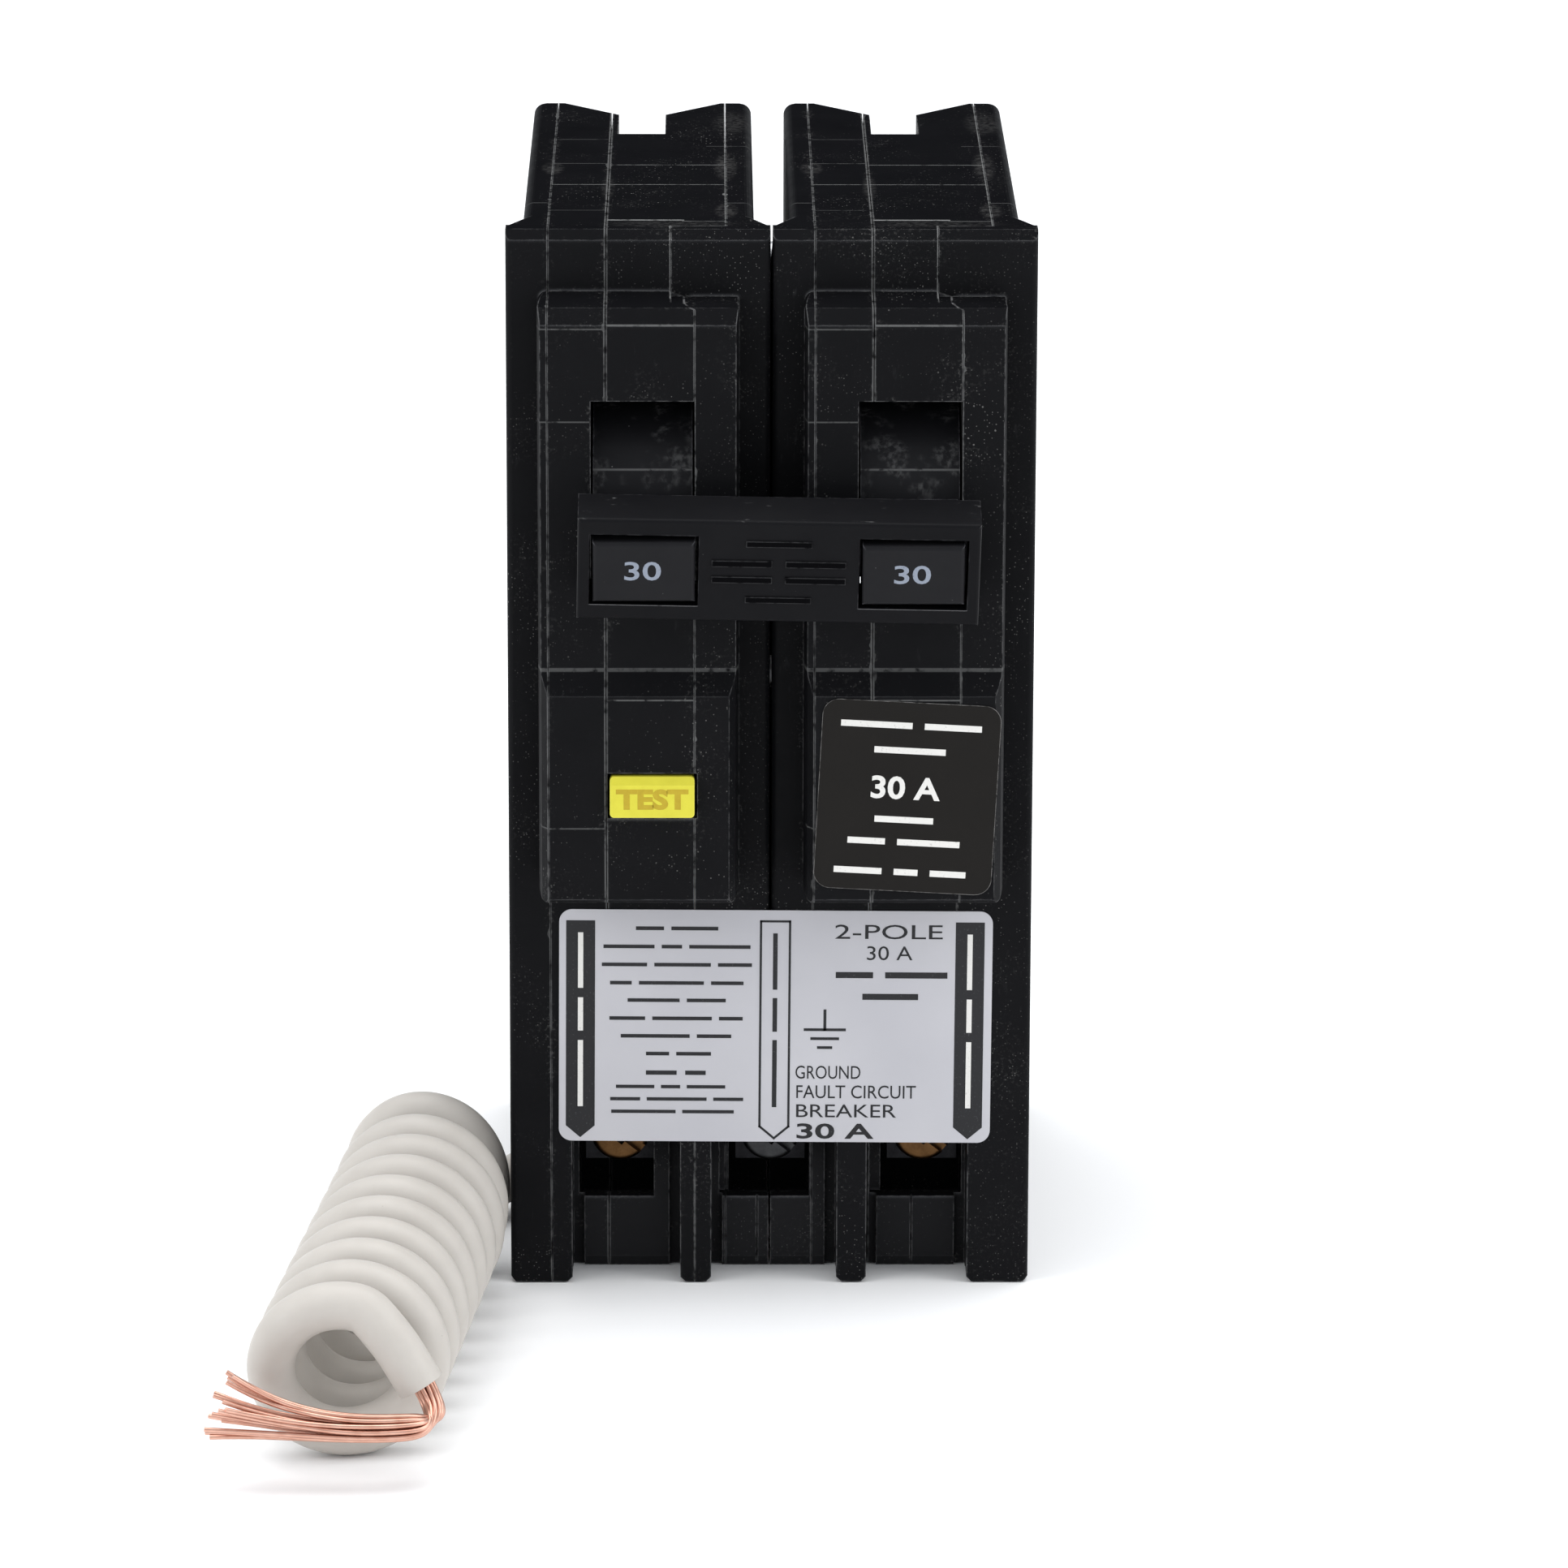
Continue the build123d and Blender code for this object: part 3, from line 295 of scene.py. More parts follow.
def case_finish(pole):
    left = POLE_LEFT[pole]
    finish = Finish(f"{pole}_case_plastic", (0.006, 0.006, 0.0068), 0.5, specular=0.045)
    across = finish.math("SUBTRACT", finish.math("DIVIDE", finish.axis("X"), MM), left)
    depth = finish.math("DIVIDE", finish.math("SUBTRACT", finish.axis("Y"), SHOULDER_Y), MM)
    height = finish.math("DIVIDE", finish.axis("Z"), MM)
    axes = {"x": across, "y": depth, "z": height}
    breakup = finish.noise(0.9, 4.0)
    clumps = finish.noise(2.6, 3.0)
    swelling = finish.math("MULTIPLY", finish.band(clumps, 0.60, 0.74), 0.22)
    kept = finish.band(breakup, 0.26, 0.52)
    seams = total(finish, [drawn_line(finish, axes, line, swelling) for line in SEAM_LINES])
    crossings = total(finish, [drawn_line(finish, axes, line, 0.0) for line in CROSS_LINES])
    lines = finish.math("MULTIPLY", finish.math("MAXIMUM", seams, crossings), kept)
    worn = finish.math("MULTIPLY", finish.edges(0.22), finish.band(breakup, 0.34, 0.60))
    rims = finish.lit_rims(0.7)
    rubbed = total(finish, [smudge(finish, axes, place) for place in SMUDGES])
    rubbed = finish.math("MULTIPLY", rubbed, finish.band(finish.noise(0.5, 5.0), 0.34, 0.66))
    corners = finish.edges(1.3, 0.004, 0.12)
    powder = finish.math("MULTIPLY", finish.band(finish.noise(0.33, 5.0), 0.52, 0.72),
                         finish.band(finish.noise(5.0, 3.0), 0.42, 0.66))
    cover_side = finish.band(across, 16.0, 23.0)
    dusty = finish.math("ADD", finish.band(finish.noise(9.0, 3.0), 0.46, 0.72),
                        finish.math("MULTIPLY", cover_side, 0.4), clamp=True)
    dust = total(finish, [
        finish.math("MULTIPLY", finish.specks(0.42, 0.2, 0.35), finish.math("MULTIPLY", dusty, 0.7)),
        finish.math("MULTIPLY", finish.specks(1.3, 0.13, 0.3), 0.55),
        finish.math("MULTIPLY", finish.math("MULTIPLY", powder, corners), 0.4),
        finish.math("MULTIPLY", finish.math("MULTIPLY", powder, dusty), 0.16),
        finish.math("MULTIPLY", finish.specks(0.25, 0.14, 0.3), finish.math("MULTIPLY", dusty, 0.6)),
        rubbed,
    ])
    scuff = finish.math("MULTIPLY", finish.band(finish.noise(0.5, 5.0, (1.0, 1.0, 0.22)), 0.60, 0.80),
                        finish.band(finish.noise(7.0, 2.0), 0.5, 0.75))
    base = finish.mix(finish.noise(6.0, 4.0), (0.0036, 0.0037, 0.0044), (0.0064, 0.0065, 0.0074))
    # Painted light: the sills low at the load end, set back from the shoulder face, are lightened against the
    # shade of their recess.
    sill_light = finish.math("MULTIPLY", finish.band(height, 14.0, 9.0), finish.band(depth, 0.5, 1.5))
    with_sill_light = finish.mix(finish.math("MULTIPLY", sill_light, 0.7), base, (0.018, 0.018, 0.0195))
    # Painted highlight: the rounded upper rims that face forward are lightened as if they caught the light
    # from above.
    with_rim_highlights = finish.mix(finish.math("MULTIPLY", rims, 0.85), with_sill_light, (0.055, 0.056, 0.060))
    with_scuffs = finish.mix(finish.math("MULTIPLY", scuff, 0.25), with_rim_highlights, (0.06, 0.06, 0.063))
    with_wear = finish.mix(finish.math("MULTIPLY", worn, 0.7), with_scuffs, (0.14, 0.14, 0.142))
    with_lines = finish.mix(lines, with_wear, DUST_GREY)
    finish.colour(finish.mix(finish.math("MULTIPLY", dust, 0.6), with_lines, (0.26, 0.255, 0.245)))
    finish.roughness(finish.noise(2.2, 3.0), 0.42, 0.62)
    shine = finish.math("SUBTRACT", 1.0, finish.facing((0, 0, 1)), clamp=True)
    finish.put(finish.shader, "Specular IOR Level", finish.math("MULTIPLY", shine, 0.06))
    relief = finish.math("ADD", finish.noise(0.25, 2.0), finish.math("MULTIPLY", finish.noise(1.6, 2.0), 1.5))
    finish.bump(relief, 0.006)
    return finish.material


def dark_plastic(name, base, wear, specks=0.6, specular=0.2, roughness=(0.38, 0.55)):
    """Black moulded plastic with worn edges and a few specks of dust."""
    finish = Finish(name, base, 0.45, specular=specular)
    breakup = finish.noise(0.9, 4.0)
    worn = finish.math("MULTIPLY", finish.edges(0.2), finish.band(breakup, 0.30, 0.56))
    dust = finish.math("MULTIPLY", finish.specks(0.9, 0.30, 0.35), specks)
    lighter = tuple(channel * 1.5 for channel in base)
    ground = finish.mix(finish.noise(4.0, 4.0), base, lighter)
    with_wear = finish.mix(finish.math("MULTIPLY", worn, 0.85), ground, wear)
    finish.colour(finish.mix(dust, with_wear, (0.22, 0.215, 0.21)))
    finish.roughness(finish.noise(1.8, 3.0), *roughness)
    finish.bump(finish.noise(0.3, 2.0), 0.004)
    return finish.material


DRUM_LINE_Z = 82.0                               # the raised pad's upper edge on the handle's drum
DRUM_DEPTH = (-8.0, 3.0)


def handle_plastic():
    """As dark_plastic, with a thin light line along the raised pad's upper edge and rubbed patches on the
    drum inside the case's slot.
    """
    finish = Finish("handle_plastic", (0.009, 0.009, 0.0105), 0.45, specular=0.1)
    breakup = finish.noise(0.7, 4.0)
    height = finish.math("DIVIDE", finish.axis("Z"), MM)
    depth = finish.math("DIVIDE", finish.math("SUBTRACT", finish.axis("Y"), SHOULDER_Y), MM)
    middle, reach = sum(DRUM_DEPTH) / 2, (DRUM_DEPTH[1] - DRUM_DEPTH[0]) / 2
    on_drum = finish.math("LESS_THAN", finish.math("ABSOLUTE", finish.math("SUBTRACT", depth, middle)), reach)
    away = finish.math("ABSOLUTE", finish.math("SUBTRACT", height, DRUM_LINE_Z))
    line = finish.math("MULTIPLY", finish.band(away, 0.14, 0.05), finish.band(breakup, 0.3, 0.5))
    brushed = finish.math("MULTIPLY", finish.band(finish.noise(0.35, 5.0, (0.6, 1.0, 0.35)), 0.40, 0.70),
                          finish.band(finish.noise(3.2, 2.0), 0.48, 0.66))
    marks = finish.math("MAXIMUM", finish.math("MULTIPLY", line, 0.45), finish.math("MULTIPLY", brushed, 0.3))
    marks = finish.math("MULTIPLY", marks, on_drum)
    worn = finish.math("MULTIPLY", finish.edges(0.2), finish.band(breakup, 0.30, 0.56))
    specks = finish.math("MULTIPLY", finish.specks(0.8, 0.2, 0.3), 0.5)
    base = finish.mix(finish.noise(4.0, 4.0), (0.008, 0.008, 0.0095), (0.012, 0.012, 0.0135))
    with_wear = finish.mix(finish.math("MULTIPLY", worn, 0.8), base, (0.10, 0.10, 0.11))
    finish.colour(finish.mix(finish.math("MAXIMUM", marks, specks), with_wear, (0.19, 0.19, 0.19)))
    finish.roughness(finish.noise(1.8, 3.0), 0.38, 0.55)
    finish.bump(finish.noise(0.3, 2.0), 0.004)
    return finish.material


def tie_plastic():
    """As dark_plastic, with a painted highlight, broken up by noise, along the upper front edge of its face,
    and rubbed patches on its top.
    """
    finish = Finish("tie_plastic", (0.0050, 0.0050, 0.0060), 0.45, specular=0.06)
    breakup = finish.noise(1.1, 4.0)
    # Painted highlight on the upper front rim of the tie's face.
    rim_highlight = finish.math("MULTIPLY", finish.lit_rims(0.16), finish.band(breakup, 0.22, 0.44))
    worn = finish.math("MULTIPLY", finish.edges(0.16), finish.band(breakup, 0.42, 0.66))
    rubbed = finish.math("MULTIPLY", finish.band(finish.noise(0.45, 5.0, (0.4, 1.0, 1.0)), 0.60, 0.76),
                         finish.band(finish.noise(6.0, 2.0), 0.54, 0.70))
    rubbed = finish.math("MULTIPLY", rubbed, finish.facing((0, 0, 1)))
    specks = finish.math("MULTIPLY", finish.specks(1.1, 0.16, 0.3), 0.4)
    base = finish.mix(finish.noise(4.0, 4.0), (0.0046, 0.0046, 0.0056), (0.0072, 0.0072, 0.0082))
    with_wear = finish.mix(finish.math("MULTIPLY", worn, 0.6), base, (0.09, 0.09, 0.095))
    with_rim_highlight = finish.mix(finish.math("MULTIPLY", rim_highlight, 0.9), with_wear, (0.17, 0.17, 0.175))
    finish.colour(finish.mix(finish.math("MAXIMUM", rubbed, specks), with_rim_highlight, (0.2, 0.2, 0.2)))
    finish.roughness(finish.noise(1.8, 3.0), 0.38, 0.55)
    finish.bump(finish.noise(0.3, 2.0), 0.004)
    return finish.material


def yellow_plastic():
    finish = Finish("yellow_plastic", (0.66, 0.60, 0.04), 0.42, specular=0.35)
    shade = finish.noise(1.2, 4.0)
    worn = finish.edges(0.2)
    base = finish.mix(shade, (0.58, 0.53, 0.03), (0.70, 0.65, 0.05))
    finish.colour(finish.mix(finish.math("MULTIPLY", worn, 0.5), base, (0.78, 0.74, 0.14)))
    finish.roughness(shade, 0.36, 0.5)
    finish.bump(finish.noise(0.35, 2.0), 0.004)
    return finish.material


# The letters of TEST are sunk in the real button; here they stand only 0.02 mm proud, and their darker orange
# is painted shade for the sunk strokes.
def test_letter_shade():
    finish = Finish("test_letter_shade", (0.62, 0.43, 0.02), 0.45, specular=0.3)
    shade = finish.noise(0.6, 3.0)
    finish.colour(finish.mix(shade, (0.40, 0.28, 0.012), (0.52, 0.39, 0.02)))
    finish.bump(shade, 0.004)
    return finish.material


def metal(name, dark, light, roughness=(0.25, 0.45), grain=(1, 1, 1), size=1.2, relief=0.004):
    """Metal with stained patches, brushed along the axis where grain is smallest."""
    finish = Finish(name, light, 0.35, metallic=1.0)
    patches = finish.noise(size, 4.0)
    brushed = finish.noise(0.22, 3.0, grain)
    mixed = finish.math("ADD", finish.math("MULTIPLY", patches, 0.65), finish.math("MULTIPLY", brushed, 0.35))
    finish.colour(finish.mix(mixed, dark, light))
    finish.roughness(mixed, roughness[1], roughness[0])
    finish.bump(brushed, relief)
    return finish.material


def dull(name, dark, light, roughness=(0.6, 0.8), size=0.8, relief=0.01):
    """Fibre, laminate, moulded or cast parts without a shine."""
    finish = Finish(name, light, 0.7, specular=0.3)
    speckle = finish.noise(size, 5.0)
    finish.colour(finish.mix(speckle, dark, light))
    finish.roughness(speckle, *roughness)
    finish.bump(finish.noise(size / 3, 2.0), relief)
    return finish.material


def wound_wire(name, dark, light, pitch):
    """Enamelled wire laid in turns along Z."""
    finish = Finish(name, light, 0.3, metallic=0.8)
    around = finish.math("MULTIPLY", finish.axis("Z"), 2 * math.pi / (pitch * MM))
    turns = finish.math("ADD", finish.math("MULTIPLY", finish.math("SINE", around), 0.5), 0.5)
    finish.colour(finish.mix(turns, dark, light))
    finish.bump(turns, 0.08)
    return finish.material


def label_film():
    """Silver-grey film with a slight waviness and darker specks of dust."""
    finish = Finish("label_film", (0.52, 0.53, 0.56), 0.42, specular=0.35)
    cloud = finish.noise(14.0, 2.0)
    base = finish.mix(cloud, (0.43, 0.428, 0.46), (0.54, 0.535, 0.56))
    marks = finish.math("MULTIPLY", finish.specks(2.2, 0.25, 0.35), 0.35)
    finish.colour(finish.mix(marks, base, (0.16, 0.16, 0.17)))
    finish.roughness(finish.noise(3.0, 3.0), 0.36, 0.5)
    finish.bump(finish.noise(5.0, 2.0), 0.02)
    return finish.material


def dark_film():
    finish = Finish("dark_film", (0.012, 0.010, 0.008), 0.4, specular=0.12)
    cloud = finish.noise(5.0, 3.0)
    base = finish.mix(cloud, (0.0065, 0.0056, 0.0048), (0.0105, 0.0092, 0.008))
    dust = finish.specks(1.3, 0.22, 0.4)
    edge = finish.math("MULTIPLY", finish.edges(0.12), finish.band(finish.noise(0.8), 0.3, 0.6))
    worn = finish.mix(finish.math("MULTIPLY", edge, 0.7), base, (0.35, 0.34, 0.33))
    finish.colour(finish.mix(finish.math("MULTIPLY", dust, 0.7), worn, (0.3, 0.29, 0.28)))
    finish.roughness(cloud, 0.34, 0.48)
    finish.bump(finish.noise(4.0, 2.0), 0.015)
    return finish.material


def print_ink(name, colour, worn_to):
    finish = Finish(name, colour, 0.5, specular=0.3)
    breakup = finish.noise(0.22, 4.0)
    finish.colour(finish.mix(finish.band(breakup, 0.58, 0.78), colour, worn_to))
    finish.roughness(breakup, 0.45, 0.6)
    finish.bump(breakup, 0.002)
    return finish.material


def white_insulation():
    """Satin vinyl with handling marks and a faint bump."""
    finish = Finish("white_insulation", (0.48, 0.455, 0.42), 0.42, specular=0.35, Subsurface_Weight=0.06)
    finish.put(finish.shader, "Subsurface Radius", (0.0012, 0.0009, 0.0007))
    cloud = finish.noise(3.5, 4.0)
    base = finish.mix(cloud, (0.45, 0.42, 0.385), (0.54, 0.51, 0.47))
    grime = finish.math("MULTIPLY", finish.specks(1.6, 0.22, 0.4), 0.35)
    finish.colour(finish.mix(grime, base, (0.2, 0.18, 0.16)))
    finish.roughness(finish.noise(1.5, 3.0), 0.36, 0.52)
    finish.bump(finish.noise(0.7, 3.0), 0.008)
    return finish.material


def copper_wire():
    finish = Finish("bare_copper", (0.62, 0.34, 0.22), 0.3, metallic=1.0)
    tarnish = finish.noise(1.4, 4.0)
    finish.colour(finish.mix(tarnish, (0.48, 0.21, 0.14), (0.80, 0.52, 0.42)))
    finish.roughness(tarnish, 0.22, 0.42)
    finish.bump(finish.noise(0.12, 2.0), 0.004)
    return finish.material


def floor_paint():
    finish = Finish("floor_paint", (0.9, 0.9, 0.9), 0.7, specular=0.1)
    shade = finish.noise(60.0, 2.0)
    finish.colour(finish.mix(shade, (0.94, 0.94, 0.94), (0.955, 0.955, 0.955)))
    return finish.material


FINISHES = {
    "handle_plastic": handle_plastic(),
    "tie_plastic": tie_plastic(),
    "yellow_plastic": yellow_plastic(),
    "copper": metal("copper", (0.55, 0.25, 0.15), (0.85, 0.48, 0.33), grain=(1, 1, 0.2)),
    "jaw_copper": metal("jaw_copper", (0.45, 0.36, 0.28), (0.74, 0.62, 0.50), grain=(1, 0.2, 1)),
    "silver_contact": metal("silver_contact", (0.6, 0.6, 0.57), (0.85, 0.85, 0.82)),
    "plain_steel": metal("plain_steel", (0.30, 0.31, 0.32), (0.52, 0.53, 0.55), grain=(1, 1, 0.2)),
    "spring_steel": metal("spring_steel", (0.25, 0.25, 0.26), (0.46, 0.46, 0.48)),
    # The terminal screws and lugs are given colours far darker than bare brass, zinc and tin: painted shade,
    # since they sit deep in the terminal holes.
    "brass_screw": metal("brass_screw", (0.045, 0.021, 0.008), (0.15, 0.08, 0.033), (0.26, 0.46), size=0.9),
    "neutral_screw": metal("neutral_screw", (0.02, 0.02, 0.022), (0.07, 0.071, 0.073), (0.3, 0.5)),
    "tinned_lug": metal("tinned_lug", (0.012, 0.012, 0.014), (0.04, 0.04, 0.043), (0.45, 0.65)),
    "fibre": dull("fibre", (0.30, 0.17, 0.10), (0.46, 0.29, 0.18)),
    "board": dull("board", (0.015, 0.10, 0.035), (0.03, 0.17, 0.06), (0.35, 0.5), 2.0),
    "core": dull("core", (0.02, 0.022, 0.03), (0.045, 0.048, 0.06), (0.4, 0.55)),
    "winding": wound_wire("winding", (0.20, 0.06, 0.02), (0.52, 0.20, 0.08), 0.4),
    "bobbin": dull("bobbin", (0.55, 0.52, 0.44), (0.68, 0.65, 0.56), (0.4, 0.55)),
    "label_film": label_film(),
    "dark_film": dark_film(),
    "white_insulation": white_insulation(),
    "bare_copper": copper_wire(),
    "grommet": dark_plastic("grommet", (0.007, 0.007, 0.007), (0.05, 0.05, 0.05), 0.4),
    "rivet": metal("rivet", (0.35, 0.35, 0.36), (0.6, 0.6, 0.62), (0.3, 0.5)),
}
CASE_FINISH = {pole: case_finish(pole) for pole in POLE_LEFT}
LABEL_INK = print_ink("label_ink", (0.012, 0.012, 0.014), (0.05, 0.05, 0.055))
PALE_INK = print_ink("pale_ink", (0.72, 0.71, 0.68), (0.45, 0.44, 0.42))
HANDLE_INK = print_ink("handle_ink", (0.24, 0.27, 0.33), (0.13, 0.15, 0.19))
TEST_LETTER_SHADE = test_letter_shade()
# The raised bars are moulded in the tie's own plastic; their much darker colour is painted shade for the
# shaded walls of the raised letters.
TIE_RELIEF_SHADE = dark_plastic("tie_relief_shade", (0.0012, 0.0012, 0.0016), (0.05, 0.05, 0.052), 0.0, 0.02)


def paint(obj, material):
    obj.data.materials.clear()
    obj.data.materials.append(material)


def paint_cad_nodes():
    slots = {part["node"]: part["material_slot"] for part in frame["record"]["subparts"]}
    for node, obj in frame["nodes"].items():
        slot = slots[node]
        if slot == "case_plastic":
            paint(obj, CASE_FINISH["left_pole" if node.startswith("left_pole") else "right_pole"])
        else:
            paint(obj, FINISHES[slot])


# ---- pieces ---------------------------------------------------------------------------------------
INK_THICKNESS = 0.015
BAR_WEIGHT = 0.42                                # of the height of the print that a row of bars stands for
BAR_GAP = 0.8


def add_piece(name, mesh, material, body="case"):
    obj = bpy.data.objects.new(name, mesh)
    bpy.context.collection.objects.link(obj)
    obj.data.materials.append(material)
    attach(obj, body)
    return obj


def lettering(text, height, width, weight, thickness):
    """Vertices and faces of one line of text in the XY plane, its middle at the origin."""
    font = bpy.data.curves.new("line_of_text", "FONT")
    font.body = text
    font.resolution_u = 4
    font.offset = weight
    font.extrude = 0.01
    scratch = bpy.data.objects.new("line_of_text", font)
    bpy.context.collection.objects.link(scratch)
    bpy.context.view_layer.update()
    mesh = bpy.data.meshes.new_from_object(scratch.evaluated_get(bpy.context.evaluated_depsgraph_get()))
    bpy.data.objects.remove(scratch)
    low = [min(v.co[i] for v in mesh.vertices) for i in range(3)]
    high = [max(v.co[i] for v in mesh.vertices) for i in range(3)]
    capital = 0.73 + 2 * weight                  # height of a capital in the built-in font at size 1
    scale_x = width / (high[0] - low[0])
    scale_y = height / capital
    points = []
    for vertex in mesh.vertices:
        u = (vertex.co.x - (low[0] + high[0]) / 2) * scale_x
        v = (vertex.co.y - (capital - 2 * weight) / 2) * scale_y
        points.append(Vector((u, v, thickness if vertex.co.z > 0 else 0.0)))
    faces = [tuple(polygon.vertices) for polygon in mesh.polygons]
    bpy.data.meshes.remove(mesh)
    return points, faces


class Print:
    """Thin ink or raised letters on a flat face; u runs to the right, v up and w out, in millimetres."""

    def __init__(self, to_frame):
        self.to_frame = to_frame
        self.points = []
        self.faces = []

    def add(self, points, faces, u=0.0, v=0.0):
        start = len(self.points)
        place = Matrix.Translation((u, v, 0))
        self.points += [self.to_frame @ (place @ Vector(point)) for point in points]
        self.faces += [tuple(start + i for i in face) for face in faces]

    def words(self, text, u, v, width, height, weight=0.0, thickness=INK_THICKNESS):
        points, faces = lettering(text, height, width, weight, thickness)
        self.add(points, faces, u, v)

    def plate(self, outline, thickness=INK_THICKNESS):
        """A thin plate with the given outline."""
        count = len(outline)
        points = [(u, v, 0.0) for u, v in outline] + [(u, v, thickness) for u, v in outline]
        sides = [(i, (i + 1) % count, (i + 1) % count + count, i + count) for i in range(count)]
        self.add(points, [tuple(range(count - 1, -1, -1)), tuple(range(count, 2 * count))] + sides)

    def line(self, start, end, width, thickness=INK_THICKNESS):
        along = (Vector(end) - Vector(start)).normalized() * width / 2
        side = Vector((-along.y, along.x))
        corners = (Vector(start) - along - side, Vector(end) + along - side,
                   Vector(end) + along + side, Vector(start) - along + side)
        self.plate([(corner.x, corner.y) for corner in corners], thickness)

    def bars(self, u, v, width, height, shares, downwards=False, thickness=INK_THICKNESS):
        """A row of plain bars that stands for a line of print, with lengths in these shares."""
        weight, gap = BAR_WEIGHT * height, BAR_GAP * height
        unit = (width - gap * (len(shares) - 1)) / sum(shares)
        along = -width / 2
        for share in shares:
            ends = [along + weight / 2, along + share * unit - weight / 2]
            points = [(u, v - end) if downwards else (u + end, v) for end in ends]
            self.line(points[0], points[1], weight, thickness)
            along += share * unit + gap

    def piece(self, name, material, body="case"):
        mesh = bpy.data.meshes.new(name)
        mesh.from_pydata([tuple(point) for point in self.points], [], self.faces)
        mesh.update()
        return add_piece(name, mesh, material, body)


def front_face(x, y, z, turn=0.0):
    """Turns (u, v, w) millimetres on a forward-facing plane into the frame."""
    return (Matrix.Translation(at(x, y, z)) @ Matrix.Rotation(math.radians(turn), 4, "Y")
            @ Matrix.Rotation(math.pi / 2, 4, "X") @ Matrix.Scale(MM, 4))


# ---- wiring label ---------------------------------------------------------------------------------
LABEL_CENTRE = (0.5, 25.95)
LABEL_FACE_Y = -0.12
LABEL_TURN = 0.35
ARROW_HALF = 1.4
ARROW_TOP = 10.55
ARROW_SHOULDER = -10.1
ARROW_TIP = -11.3
LABEL_WORDS = (
    # text, u, v, width, capital height, weight
    ("2-POLE", 10.9, 9.6, 10.4, 1.5, 0.0),
    ("30 A", 11.0, 7.47, 4.4, 1.46, 0.0),
    ("GROUND", 5.15, -4.55, 6.3, 1.38, 0.0),
    ("FAULT CIRCUIT", 7.9, -6.52, 11.6, 1.38, 0.0),
    ("BREAKER", 6.95, -8.45, 9.7, 1.38, 0.0),
    ("30 A", 5.9, -10.5, 7.5, 1.62, 0.022),
)
LABEL_BARS = (
    # u, v, width, height and the bars' shares of the row
    (-9.55, 9.79, 7.95, 0.88, (3, 5)),
    (-9.55, 7.96, 14.2, 0.86, (5, 2, 6)),
    (-9.55, 6.15, 14.5, 0.86, (4, 5, 3)),
    (-9.55, 4.32, 12.9, 0.86, (2, 6, 3)),
    (-9.55, 2.58, 9.5, 0.86, (4, 3)),
    (-9.6, 0.76, 12.9, 0.86, (3, 5, 2)),
    (-9.6, -1.02, 10.7, 0.86, (6, 3)),
    (-9.35, -2.8, 6.3, 0.86, (2, 3)),
    (-9.6, -4.72, 5.8, 1.03, (3, 2)),
    (-10.1, -6.13, 10.6, 0.8, (4, 2, 4)),
    (-9.5, -7.38, 12.9, 0.8, (3, 6, 3)),
    (-9.9, -8.65, 11.9, 0.8, (5, 4)),
    (11.2, 5.21, 10.8, 1.46, (3, 5)),
    (11.1, 3.04, 5.4, 1.46, (1,)),
)
ARROW_SHARES = (5, 3, 6)
DARK_ARROWS = (-18.85, 18.75)                    # where the filled arrows lie across the label
OPEN_ARROW = -0.05
ARROW_BARS_MIDDLE = 0.6
ARROW_BARS_LENGTH = 17.5


def arrow_outline(u, grow=0.0):
    half = ARROW_HALF + grow
    return [
        (u - half, ARROW_TOP + grow), (u - half, ARROW_SHOULDER - grow * 0.5), (u, ARROW_TIP - grow * 1.3),
        (u + half, ARROW_SHOULDER - grow * 0.5), (u + half, ARROW_TOP + grow),
    ]


def earth_symbol(ink, u, v):
    """The plain earth sign: a stem over three shortening bars."""
    ink.line((u, v + 2.2), (u, v + 0.3), 0.28)
    for drop, half in ((0.3, 1.9), (-0.6, 1.25), (-1.5, 0.6)):
        ink.line((u - half, v + drop), (u + half, v + drop), 0.28)


def load_label():
    ink = Print(front_face(LABEL_CENTRE[0], LABEL_FACE_Y, LABEL_CENTRE[1], LABEL_TURN))
    for row in LABEL_WORDS:
        ink.words(*row)
    for row in LABEL_BARS:
        ink.bars(*row)
    for u in DARK_ARROWS:
        ink.plate(arrow_outline(u)[::-1])
    border = arrow_outline(OPEN_ARROW)
    for start, end in zip(border, border[1:] + border[:1]):
        ink.line(start, end, 0.22)
    ink.bars(OPEN_ARROW, ARROW_BARS_MIDDLE, ARROW_BARS_LENGTH, 1.05, ARROW_SHARES, downwards=True)
    earth_symbol(ink, 4.8, -0.6)
    ink.piece("load_label_ink", LABEL_INK)
    pale = Print(front_face(LABEL_CENTRE[0], LABEL_FACE_Y - INK_THICKNESS, LABEL_CENTRE[1], LABEL_TURN))
    for u in DARK_ARROWS:
        pale.bars(u, ARROW_BARS_MIDDLE, ARROW_BARS_LENGTH, 1.2, ARROW_SHARES, downwards=True)
    pale.piece("load_label_pale_bars", PALE_INK)


# ---- rating sticker -------------------------------------------------------------------------------
STICKER_CENTRE = (12.95, 50.75)
STICKER_FACE_Y = -7.32
STICKER_TURN = 3.0
STICKER_BARS = (
    # u, v, width, height and the bars' shares of the row
    (0.0, 7.0, 13.4, 1.45, (5, 4)),
    (0.0, 4.55, 6.8, 1.45, (1,)),
    (-0.2, -2.25, 5.6, 1.45, (1,)),
    (-0.1, -4.45, 10.7, 1.45, (3, 5)),
    (-0.3, -7.4, 12.6, 1.45, (4, 2, 3)),
)


def rating_sticker():
    ink = Print(front_face(STICKER_CENTRE[0], STICKER_FACE_Y, STICKER_CENTRE[1], STICKER_TURN))
    ink.words("30 A", -0.2, 0.95, 6.6, 2.35, 0.025)
    for row in STICKER_BARS:
        ink.bars(*row)
    ink.piece("rating_sticker_ink", PALE_INK)


